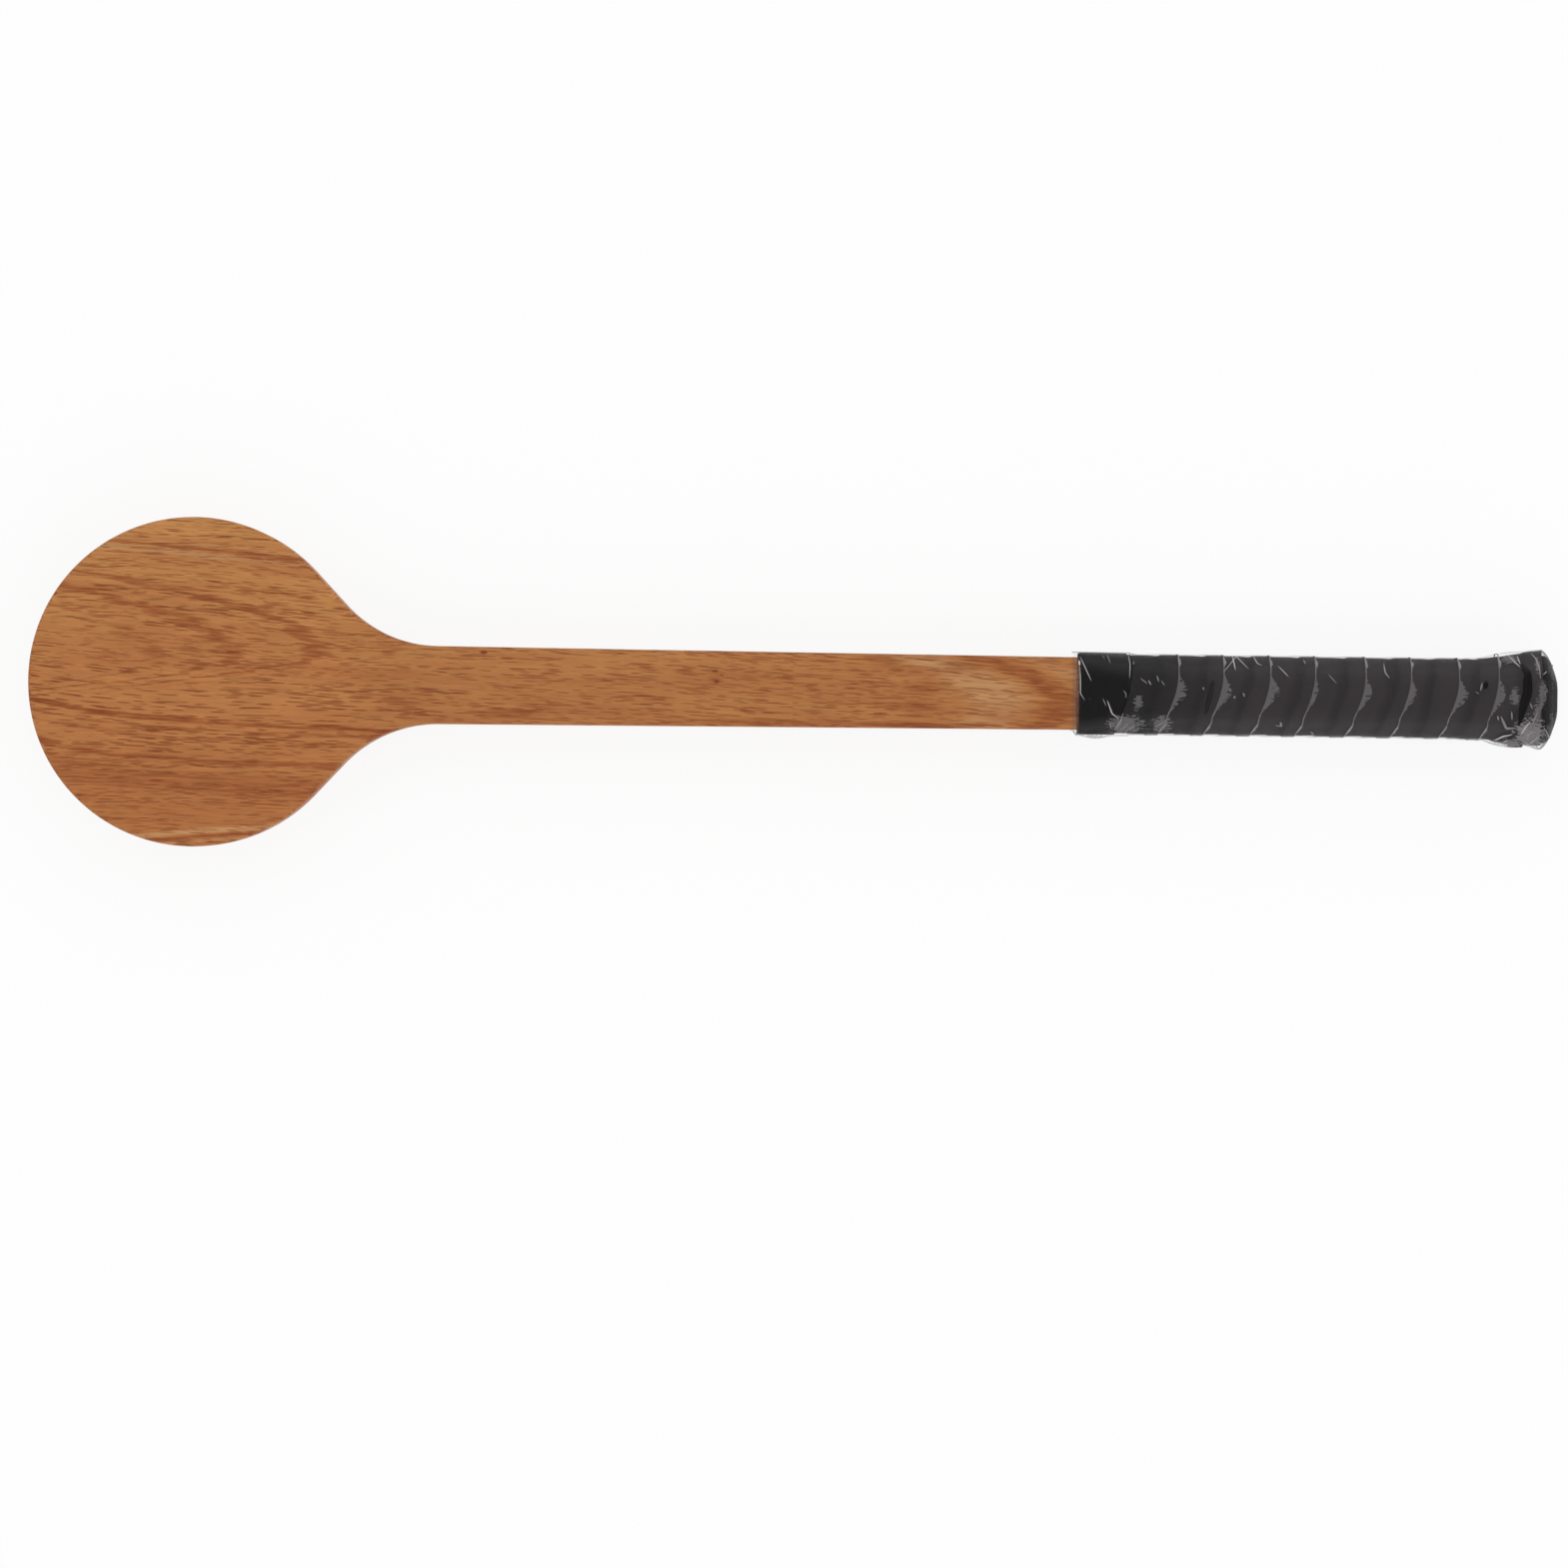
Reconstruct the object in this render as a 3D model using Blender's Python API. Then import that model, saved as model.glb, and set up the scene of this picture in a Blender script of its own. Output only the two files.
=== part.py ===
# Wooden tennis pointer: a one-piece hardwood paddle with a round head, a slim shaft and a
# wrapped eight-sided handle, closed by a flared butt cap. A clear film still covers the grip.
#
# Metres. +X runs along the pointer to the butt, +Y across the board, +Z out of the striking face.
# The origin is the centre of the overall length, width and thickness.

import bmesh
import bpy
import math
from mathutils import Vector, kdtree

# Board: head, neck and shaft
OVERALL_LENGTH = 0.533
BOARD_THICKNESS = 0.022
EDGE_RADIUS = 0.001
HEAD_RADIUS = 0.0574
FLANK_ANGLE = math.radians(42.9)
NECK_FILLET_RADIUS = 0.0452
HEAD_FACE_PAST_NECK = 0.004
SHAFT_WIDTH_AT_NECK = 0.0271
SHAFT_WIDTH_AT_GRIP = 0.0252

# Handle: the eight-sided tang under the grip
GRIP_LENGTH = 0.167
HANDLE_WIDTH = 0.0242
HANDLE_THICKNESS = 0.0210
HANDLE_CHAMFER = 0.0042
CHAMFER_AT_GRIP_TOP = 0.0012
CHAMFER_RUN_OUT = 0.022
CORNER_RADIUS = 0.0012
LEAST_RADIUS = 0.0003
TANG_ROOT = 0.012

# Butt cap: a moulded cup with a thin collar, a flare and a domed end
CAP_LENGTH = 0.0345
COLLAR_WALL = 0.0012
COLLAR_RISE = 0.0002
COLLAR_TAPER = 0.0025
FLARE_RISE = 0.0032
FLARE_LENGTH = 0.024
DOME_LENGTH = 0.0054
DOME_DROP = 0.0063
CAP_FLOOR = 0.007
SPIGOT_LEAD_IN = 0.001
END_GROOVE_RADIUS = 0.0056
END_GROOVE_WIDTH = 0.0007
END_GROOVE_DEPTH = 0.0005

# Staples through the collar into the tang
STAPLE_CROWN = 0.0095
STAPLE_LEG = 0.0078
STAPLE_WIRE_WIDTH = 0.0010
STAPLE_WIRE_THICKNESS = 0.0005
STAPLE_POINT = 0.0012
STAPLE_FROM_COLLAR_EDGE = (0.0045, 0.0125)
STAPLE_SUNK = 0.00005

# Grip: one soft strip, wound from the butt to the head, each turn lapping the one before
STRIP_WIDTH = 0.0214
STRIP_THICKNESS = 0.0005
STRIP_PITCH = 0.01593
STRIP_START_WIDTH = 0.0008
STRIP_END_WIDTH = 0.003
STRIP_FROM_BUTT = 0.0059
LAP_CLEARANCE = 0.0005
LAP_SLOPE = 0.0018
LIFT_STARTS = 0.75
LIFT_ENDS = 0.92

# Tape round the grip's head end, and the clear film over all of it
TAPE_WIDTH = 0.0188
TAPE_THICKNESS = 0.00015
TAPE_JOINT = 0.0006
FILM_THICKNESS = 0.0001
FILM_ON_WOOD = 0.0024
FILM_ON_DOME = 0.0036
FILM_RISE = 0.0012
FILM_TENT = 0.0035

# Clearances between pieces that touch on the real pointer
FIT_GAP = 0.0003
STAPLE_GAP = 0.00025
WRAP_GAP = 0.00025
PLY_GAP = 0.00047
SKIN_GAP = 0.00025

# Facets
HEAD_STEPS = 56
FILLET_STEPS = 9
EDGE_STEPS = 2
RUN_OUT_STEPS = 5
GROOVE_STEPS = 32
FLARE_STEPS = 6
DOME_STEPS = 5
FILM_DOME_STEPS = 3
TAPE_STEPS = 4
CORNERS = 8
RING = 2 * CORNERS
START_CORNER = 5
LEAST_SPAN_SHARE = 1 / 12
SAMPLES_PER_SIDE = 4
SMOOTH_ANGLE = math.radians(35)
WELD = 0.000001

OFFSET_TO_CHAMFER = 1 - math.tan(math.pi / 8)

# Stations along the pointer, from the sizes above
TIP_X = -OVERALL_LENGTH / 2
BUTT_X = OVERALL_LENGTH / 2
HEAD_X = TIP_X + HEAD_RADIUS
GRIP_TOP_X = BUTT_X - GRIP_LENGTH
SHOULDER_X = GRIP_TOP_X - FIT_GAP
TAPE_END_X = GRIP_TOP_X + TAPE_WIDTH
COLLAR_X = BUTT_X - CAP_LENGTH
RIM_X = BUTT_X - DOME_LENGTH
FLARE_X = RIM_X - FLARE_LENGTH
STRIP_BUTT_X = BUTT_X - STRIP_FROM_BUTT
SPIGOT_END_X = BUTT_X - CAP_FLOOR
FILM_END_X = RIM_X + FILM_ON_DOME

# Heights above the handle's surface
STRIP_LOW = WRAP_GAP
STRIP_HIGH = STRIP_LOW + STRIP_THICKNESS + PLY_GAP
STRIP_TOP = STRIP_HIGH + STRIP_THICKNESS
TAPE_FOOT = STRIP_TOP + SKIN_GAP
FILM_LOW = STRIP_LOW + STRIP_THICKNESS + SKIN_GAP
FILM_HIGH = STRIP_TOP + SKIN_GAP
FILM_ON_TAPE = TAPE_FOOT + TAPE_THICKNESS + SKIN_GAP


def smoothstep(value):
    value = min(max(value, 0.0), 1.0)
    return value * value * (3 - 2 * value)


def spread(first, last, count):
    """Even stations from the first one towards the last, without the last."""
    return [first + (last - first) * step / count for step in range(count)]


def handle_section(x):
    """Half width, half thickness and chamfer of the bare handle and cap at a station."""
    half_width, half_thickness = HANDLE_WIDTH / 2, HANDLE_THICKNESS / 2
    chamfer = CHAMFER_AT_GRIP_TOP
    chamfer += (HANDLE_CHAMFER - chamfer) * smoothstep((x - GRIP_TOP_X) / CHAMFER_RUN_OUT)
    rise = COLLAR_RISE * smoothstep((x - COLLAR_X) / COLLAR_TAPER)
    rise += (FLARE_RISE - COLLAR_RISE) * smoothstep((x - FLARE_X) / FLARE_LENGTH)
    drop = DOME_DROP * smoothstep((x - RIM_X) / DOME_LENGTH)
    chamfer += OFFSET_TO_CHAMFER * rise
    shrink = 1 - drop / (half_width + rise)
    return half_width + rise - drop, half_thickness + rise - drop, chamfer * shrink


def octagon(half_width, half_thickness, chamfer, corner_radius):
    """Sixteen (y, z) points, two for each softened corner, in the order the grip is wound."""
    tangent = corner_radius * math.tan(math.pi / 8)
    flat_y, flat_z = half_width - chamfer, half_thickness - chamfer
    corners = [
        (-flat_y, half_thickness),
        (-half_width, flat_z),
        (-half_width, -flat_z),
        (-flat_y, -half_thickness),
        (flat_y, -half_thickness),
        (half_width, -flat_z),
        (half_width, flat_z),
        (flat_y, half_thickness),
    ]
    points = []
    for index, corner in enumerate(corners):
        here = Vector(corner)
        before = (Vector(corners[index - 1]) - here).normalized()
        after = (Vector(corners[(index + 1) % CORNERS]) - here).normalized()
        points += [here + before * tangent, here + after * tangent]
    return points


def handle_ring(x, height):
    """The handle's outline at a station, offset outwards by a height."""
    half_width, half_thickness, chamfer = handle_section(x)
    return octagon(
        half_width + height,
        half_thickness + height,
        chamfer + OFFSET_TO_CHAMFER * height,
        max(CORNER_RADIUS + height, LEAST_RADIUS),
    )


def board_ring(height):
    """An eased-square outline round the shaft and the handle's root, offset outwards by a height."""
    return octagon(
        max(SHAFT_WIDTH_AT_GRIP, HANDLE_WIDTH) / 2 + height,
        max(BOARD_THICKNESS, HANDLE_THICKNESS) / 2 + height,
        OFFSET_TO_CHAMFER * (EDGE_RADIUS + height),
        EDGE_RADIUS + height,
    )


def placed(x, ring):
    return [Vector((x, point.x, point.y)) for point in ring]


def new_object(name, mesh, material):
    piece = bpy.data.objects.new(name, mesh)
    piece.data.materials.append(material)
    bpy.context.scene.collection.objects.link(piece)
    return piece


def finish(name, form, material):
    """Turns a bmesh into a named object with outward faces and soft shading."""
    bmesh.ops.recalc_face_normals(form, faces=form.faces)
    if form.calc_volume(signed=True) < 0:
        bmesh.ops.reverse_faces(form, faces=form.faces)
    mesh = bpy.data.meshes.new(name)
    form.to_mesh(mesh)
    form.free()
    mesh.shade_smooth()
    mesh.set_sharp_from_angle(angle=SMOOTH_ANGLE)
    return new_object(name, mesh, material)


def finish_material(name, colour, roughness, metallic=0.0, alpha=1.0):
    material = bpy.data.materials.new(name)
    material.use_nodes = True
    shader = material.node_tree.nodes["Principled BSDF"]
    shader.inputs["Base Color"].default_value = (*colour, 1)
    shader.inputs["Roughness"].default_value = roughness
    shader.inputs["Metallic"].default_value = metallic
    shader.inputs["Alpha"].default_value = alpha
    material.diffuse_color = (*colour, alpha)
    return material


def loft(form, rings, closed=False):
    """Joins rings of points with quads. A closed loft joins its last ring to its first."""
    rows = [[form.verts.new(point) for point in ring] for ring in rings]
    pairs = list(zip(rows, rows[1:]))
    if closed:
        pairs.append((rows[-1], rows[0]))
    for first, second in pairs:
        for index in range(len(first)):
            after = (index + 1) % len(first)
            form.faces.new((first[index], first[after], second[after], second[index]))
    return rows


def guide(piece):
    """Marks a cutter or a blank that only shapes another piece."""
    piece.hide_render = True
    piece.display_type = "WIRE"
    return piece


def combine(piece, other, operation):
    modifier = piece.modifiers.new(other.name, "BOOLEAN")
    modifier.operation = operation
    modifier.solver = "EXACT"
    modifier.object = other


def half_outline():
    """One side of the board from tip to shoulder: head arc, straight flank, neck fillet, shaft."""
    neck_half = SHAFT_WIDTH_AT_NECK / 2
    along, across = math.cos(FLANK_ANGLE), math.sin(FLANK_ANGLE)
    flank = HEAD_RADIUS * across - neck_half - NECK_FILLET_RADIUS * (1 - across)
    flank_length = flank / along
    points = []
    for step in range(1, HEAD_STEPS + 1):
        turn = math.pi - (math.pi - FLANK_ANGLE) * step / HEAD_STEPS
        points.append((HEAD_X + HEAD_RADIUS * math.cos(turn), HEAD_RADIUS * math.sin(turn)))
    fillet_x = points[-1][0] + flank_length * across + NECK_FILLET_RADIUS * along
    fillet_y = neck_half + NECK_FILLET_RADIUS
    for step in range(FILLET_STEPS + 1):
        turn = FLANK_ANGLE + (math.pi / 2 - FLANK_ANGLE) * step / FILLET_STEPS
        points.append(
            (
                fillet_x - NECK_FILLET_RADIUS * math.cos(turn),
                fillet_y - NECK_FILLET_RADIUS * math.sin(turn),
            )
        )
    points.append((SHOULDER_X, SHAFT_WIDTH_AT_GRIP / 2))
    return points, fillet_x


def board():
    """The sawn board with eased edges, as far as the grip's shoulder."""
    side, neck_x = half_outline()
    outline = [(TIP_X, 0.0)] + side + [(x, -y) for x, y in reversed(side)]
    form = bmesh.new()
    back = [form.verts.new((x, y, -BOARD_THICKNESS / 2)) for x, y in outline]
    sheet = form.faces.new(back)
    raised = bmesh.ops.extrude_face_region(form, geom=[sheet])["geom"]
    lifted = [item for item in raised if isinstance(item, bmesh.types.BMVert)]
    bmesh.ops.translate(form, verts=lifted, vec=(0, 0, BOARD_THICKNESS))
    rims = [edge for edge in form.edges if edge.verts[0].co.z == edge.verts[1].co.z]
    bmesh.ops.bevel(
        form,
        geom=rims,
        offset=EDGE_RADIUS,
        offset_type="OFFSET",
        segments=EDGE_STEPS,
        profile=0.5,
        affect="EDGES",
    )
    # A seam across the shaft, so that the head's flat faces end there.
    bmesh.ops.bisect_plane(
        form,
        geom=form.verts[:] + form.edges[:] + form.faces[:],
        plane_co=(neck_x + HEAD_FACE_PAST_NECK, 0, 0),
        plane_no=(1, 0, 0),
    )
    return form


def tang_blank(material):
    """The eight-sided tang with the slimmer spigot that the butt cap slides on."""
    spigot = -(COLLAR_WALL + FIT_GAP)
    spigot_x = COLLAR_X - FIT_GAP
    lead_x = SPIGOT_END_X - SPIGOT_LEAD_IN
    slim = handle_ring(spigot_x, spigot)
    run_out_x = GRIP_TOP_X + CHAMFER_RUN_OUT
    stations = [SHOULDER_X - TANG_ROOT] + spread(GRIP_TOP_X, run_out_x, RUN_OUT_STEPS)
    sections = [(x, handle_ring(x, 0)) for x in stations + [run_out_x, spigot_x]]
    sections += [
        (spigot_x, slim),
        (lead_x, slim),
        (SPIGOT_END_X, handle_ring(spigot_x, spigot - SPIGOT_LEAD_IN)),
    ]
    form = bmesh.new()
    rows = loft(form, [placed(x, ring) for x, ring in sections])
    form.faces.new(rows[0])
    form.faces.new(rows[-1])
    return guide(finish("tang_blank", form, material))


def staple_stations():
    """Each staple's name, station, face side and the height of its crown's top."""
    for side, side_name in ((1, "front"), (-1, "back")):
        for along, place in zip(STAPLE_FROM_COLLAR_EDGE, ("near", "far")):
            x = COLLAR_X + along
            surface = handle_section(x - STAPLE_WIRE_WIDTH / 2)[1]
            yield f"cap_staple_{side_name}_{place}", x, side, surface - STAPLE_SUNK


def extrude_along_x(form, outline, x_from, x_to):
    """A solid between two stations from a (y, z) outline."""
    base = [form.verts.new((x_from, y, z)) for y, z in outline]
    sheet = form.faces.new(base)
    raised = bmesh.ops.extrude_face_region(form, geom=[sheet])["geom"]
    lifted = [item for item in raised if isinstance(item, bmesh.types.BMVert)]
    bmesh.ops.translate(form, verts=lifted, vec=(x_to - x_from, 0, 0))


def staple(name, x, side, top, material):
    """A wire staple: crown along Y, two legs into the wood, chisel points."""
    half, wire = STAPLE_CROWN / 2, STAPLE_WIRE_THICKNESS
    under, foot = top - wire, top - STAPLE_LEG
    outline = [
        (-half, top),
        (-half, foot + STAPLE_POINT),
        (-half + wire, foot),
        (-half + wire, under),
        (half - wire, under),
        (half - wire, foot),
        (half, foot + STAPLE_POINT),
        (half, top),
    ]
    form = bmesh.new()
    width = STAPLE_WIRE_WIDTH / 2
    extrude_along_x(form, [(y, side * z) for y, z in outline], x - width, x + width)
    return finish(name, form, material)


def staple_cutter(name, x, side, top, material):
    """The seat a staple makes: a slot for the crown and a hole for each leg, with clearance."""
    half, wire, gap = STAPLE_CROWN / 2 + STAPLE_GAP, STAPLE_WIRE_THICKNESS, STAPLE_GAP
    above, under, foot = top + FLARE_RISE, top - wire - gap, top - STAPLE_LEG - gap
    inner = half - wire - 2 * gap
    outline = [
        (-half, above),
        (-half, foot),
        (-inner, foot),
        (-inner, under),
        (inner, under),
        (inner, foot),
        (half, foot),
        (half, above),
    ]
    form = bmesh.new()
    width = STAPLE_WIRE_WIDTH / 2 + gap
    extrude_along_x(form, [(y, side * z) for y, z in outline], x - width, x + width)
    return guide(finish(name + "_seat", form, material))


def make_blade(seats, material):
    blade = finish("blade", board(), material)
    combine(blade, tang_blank(material), "UNION")
    for seat in seats:
        combine(blade, seat, "DIFFERENCE")
    return blade


def cap_stations():
    """Stations along the cap's outside, from the collar's edge to the end face."""
    stations = [COLLAR_X + COLLAR_TAPER]
    stations += spread(FLARE_X, RIM_X, FLARE_STEPS) + spread(RIM_X, BUTT_X, DOME_STEPS)
    return [COLLAR_X] + sorted(x for x in stations if x > COLLAR_X) + [BUTT_X]


def groove_cutter(material):
    """A shallow ring groove round the plain disc in the middle of the end face."""
    form = bmesh.new()
    inner, outer = END_GROOVE_RADIUS, END_GROOVE_RADIUS + END_GROOVE_WIDTH
    section = [
        (inner, BUTT_X - END_GROOVE_DEPTH),
        (outer, BUTT_X - END_GROOVE_DEPTH),
        (outer, BUTT_X + END_GROOVE_DEPTH),
        (inner, BUTT_X + END_GROOVE_DEPTH),
    ]
    rings = []
    for step in range(GROOVE_STEPS):
        turn = 2 * math.pi * step / GROOVE_STEPS
        across, up = math.cos(turn), math.sin(turn)
        rings.append([Vector((x, radius * across, radius * up)) for radius, x in section])
    loft(form, rings, closed=True)
    return guide(finish("end_groove", form, material))


def make_butt_cap(seats, material):
    """The moulded cup: outside follows the handle's flare, inside clears the spigot."""
    form = bmesh.new()
    outside = [placed(x, handle_ring(x, 0)) for x in cap_stations()]
    bore = handle_ring(COLLAR_X, -COLLAR_WALL)
    floor_x = SPIGOT_END_X + FIT_GAP
    inside = [placed(floor_x, bore), placed(COLLAR_X, bore)]
    rows = loft(form, inside + outside)
    form.faces.new(rows[0])
    form.faces.new(rows[-1])
    cap = finish("butt_cap", form, material)
    for seat in seats:
        combine(cap, seat, "DIFFERENCE")
    combine(cap, groove_cutter(material), "DIFFERENCE")
    return cap


def lap_shares():
    """How far round the handle each ring point lies, as a share of one lap from the first."""
    ring = handle_ring(COLLAR_X, 0)
    lengths = [(ring[(i + 1) % RING] - ring[i]).length for i in range(RING)]
    total = sum(lengths)
    return [sum(lengths[:i]) / total for i in range(RING)]


def turns_from(start, count):
    """(ring point, turns wound) for each step of a winding that starts at a ring point."""
    shares = lap_shares()
    for step in range(count):
        point = (start + step) % RING
        laps = (start + step) // RING
        yield point, laps + shares[point] - shares[start]


def head_edge(turns):
    """Where the strip's head-side edge would lie, before its ends are trimmed square."""
    return STRIP_BUTT_X - STRIP_START_WIDTH - STRIP_PITCH * turns


def lap_features(turns):
    """The strip's butt-side edge, the crest where it leaves the turn before, and that slope's foot."""
    crest = head_edge(turns - 1) - LAP_CLEARANCE
    return head_edge(turns) + STRIP_WIDTH, crest, crest - LAP_SLOPE


def strip_across(turns):
    """Stations across the strip, from its butt-side edge to its head-side edge."""
    edge, crest, foot = lap_features(turns)
    first = min(edge, STRIP_BUTT_X)
    last = max(head_edge(turns), GRIP_TOP_X)
    least = min((first - last) * LEAST_SPAN_SHARE, (edge - crest) / 2)
    crest = min(max(crest, last + 4 * least), first - 2 * least)
    foot = min(max(foot, last + 3 * least), crest - least)
    return spread(first, crest, 2) + [crest] + spread(foot, last, 3) + [last]


def strip_height(turns, x):
    """Height of the strip's underside: on the handle, or up on the turn before."""
    foot = lap_features(turns)[2]
    on_lap = min(max((x - foot) / LAP_SLOPE, 0.0), 1.0)
    lifted = smoothstep((turns - LIFT_STARTS) / (LIFT_ENDS - LIFT_STARTS))
    return STRIP_LOW + (STRIP_HIGH - STRIP_LOW) * on_lap * lifted


def wound_section(point, stations, heights, thickness):
    """A closed section of a wound strip: along its top, then back along its underside."""
    top, under = [], []
    for x, height in zip(stations, heights):
        for row, level in ((top, height + thickness), (under, height)):
            spot = handle_ring(x, level)[point]
            row.append(Vector((x, spot.x, spot.y)))
    return top + under[::-1]


def wound_piece(name, sections, material):
    """One unbroken solid through the sections, closed at both ends."""
    form = bmesh.new()
    rows = loft(form, sections)
    form.faces.new(rows[0])
    form.faces.new(rows[-1])
    return finish(name, form, material)


def strip_sections():
    start = 2 * START_CORNER
    wound = STRIP_BUTT_X - GRIP_TOP_X - STRIP_START_WIDTH + STRIP_WIDTH - STRIP_END_WIDTH
    last_turn = wound / STRIP_PITCH
    sections, turn_of = [], []
    for point, turns in turns_from(start, RING * (int(last_turn) + 2)):
        if turns > last_turn:
            break
        stations = strip_across(turns)
        heights = [strip_height(turns, x) for x in stations]
        sections.append(wound_section(point, stations, heights, STRIP_THICKNESS))
        turn_of.append(turns)
    return sections, turn_of


def least_gap(sections, turn_of):
    """Least distance from any turn of the strip to the next, on points along its faces."""
    samples = []
    for section, turns in zip(sections, turn_of):
        for index, point in enumerate(section):
            after = section[(index + 1) % len(section)]
            for step in range(SAMPLES_PER_SIDE):
                samples.append((point.lerp(after, step / SAMPLES_PER_SIDE), turns))
    tree = kdtree.KDTree(len(samples))
    for index, (point, turns) in enumerate(samples):
        tree.insert(point, index)
    tree.balance()
    least = STRIP_PITCH
    for point, turns in samples:
        for other, index, distance in tree.find_range(point, 2 * PLY_GAP):
            if abs(samples[index][1] - turns) > 0.5:
                least = min(least, distance)
    return least


def make_grip_wrap(material):
    sections, turn_of = strip_sections()
    gap = least_gap(sections, turn_of) * 1000
    print(f"grip_wrap: {turn_of[-1]:.2f} turns, least gap to itself {gap:.3f} mm")
    return wound_piece("grip_wrap", sections, material)


def make_finishing_tape(material):
    """One lap of tape round the grip's head end, its ends meeting behind the handle."""
    stations = spread(TAPE_END_X, GRIP_TOP_X, TAPE_STEPS) + [GRIP_TOP_X]
    heights = [TAPE_FOOT] * len(stations)
    sections = []
    for point, turns in turns_from(2 * START_CORNER, RING):
        sections.append(wound_section(point, stations, heights, TAPE_THICKNESS))
    joint = [a.lerp(b, 1 - TAPE_JOINT / (b - a).length) for a, b in zip(sections[-1], sections[0])]
    return wound_piece("finishing_tape", sections + [joint], material)


def film_over_laps(turns):
    """(station, height) of the film's bore along the grip, stepping over each turn of the strip."""
    butt_end = STRIP_BUTT_X + SKIN_GAP
    head_end = TAPE_END_X + FIT_GAP + FILM_RISE
    laps = math.ceil((butt_end + STRIP_WIDTH - head_end) / STRIP_PITCH)
    levels = []
    for lap in range(laps):
        edge, crest, foot = lap_features(lap + turns)
        tent = lap_features(lap + turns + 1)[0] + FILM_TENT
        levels += [(x, FILM_HIGH) for x in spread(edge, crest, 2) + [crest]]
        levels += [(x, FILM_LOW) for x in spread(foot, tent, 2) + [tent]]
    placed_levels = []
    for x, height in levels:
        level_x = min(max(x, head_end), butt_end)
        near_rim = smoothstep(1 - (butt_end - level_x) / FILM_TENT)
        if level_x == head_end:
            height = FILM_HIGH
        placed_levels.append((level_x, height + (FILM_HIGH - height) * near_rim))
    return placed_levels


def film_side(point, turns, thickness):
    """One side of the film along one line of the handle, butt end first, at a height over its bore."""
    levels = []
    for x in spread(FILM_END_X, STRIP_BUTT_X + SKIN_GAP, FILM_DOME_STEPS):
        share = (FILM_END_X - x) / (FILM_END_X - STRIP_BUTT_X - SKIN_GAP)
        levels.append((x, SKIN_GAP + (FILM_HIGH - SKIN_GAP) * share ** 2))
    levels += film_over_laps(turns)
    levels += [(x, FILM_ON_TAPE) for x in spread(TAPE_END_X + FIT_GAP, SHOULDER_X, TAPE_STEPS)]
    levels.append((SHOULDER_X, FILM_ON_TAPE))
    side = []
    for x, height in levels:
        spot = handle_ring(x, height + thickness)[point]
        side.append(Vector((x, spot.x, spot.y)))
    spot = board_ring(SKIN_GAP + thickness)[point]
    for x in (SHOULDER_X - FILM_RISE, GRIP_TOP_X - FILM_ON_WOOD):
        side.append(Vector((x, spot.x, spot.y)))
    return side


def make_grip_film(material):
    """The clear shrink film: an open-ended sleeve from the bare wood to the domed end.

    It is drawn round the handle once, with the strip's steps running on from lap to lap, so the
    last section lies on the first and is welded to it.
    """
    form = bmesh.new()
    sections = []
    for point, turns in turns_from(2 * START_CORNER, RING + 1):
        bore, outside = film_side(point, turns, 0), film_side(point, turns, FILM_THICKNESS)
        sections.append(outside + bore[::-1])
    loft(form, sections)
    bmesh.ops.remove_doubles(form, verts=form.verts, dist=WELD)
    return finish("grip_film", form, material)


def main():
    for piece in list(bpy.data.objects):
        bpy.data.objects.remove(piece)

    oak = finish_material("oiled oak", (0.381, 0.152, 0.058), 0.5)
    nylon = finish_material("moulded black nylon", (0.033, 0.031, 0.032), 0.45)
    steel = finish_material("galvanised steel wire", (0.55, 0.55, 0.56), 0.35, metallic=1.0)
    polyurethane = finish_material("soft black polyurethane", (0.037, 0.034, 0.035), 0.6)
    vinyl = finish_material("glossy black vinyl", (0.013, 0.012, 0.013), 0.25)
    clear_film = finish_material("clear shrink film", (0.85, 0.85, 0.86), 0.08, alpha=0.2)

    seats = []
    for name, x, side, top in staple_stations():
        staple(name, x, side, top, steel)
        seats.append(staple_cutter(name, x, side, top, steel))

    make_blade(seats, oak)
    make_butt_cap(seats, nylon)
    make_grip_wrap(polyurethane)
    make_finishing_tape(vinyl)
    make_grip_film(clear_film)


if __name__ == "__main__":
    main()
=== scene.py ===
import math
from functools import partial

import bmesh
import bpy
import numpy as np
from bpy.props import FloatProperty, FloatVectorProperty, PointerProperty
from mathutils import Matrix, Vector, noise


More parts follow.
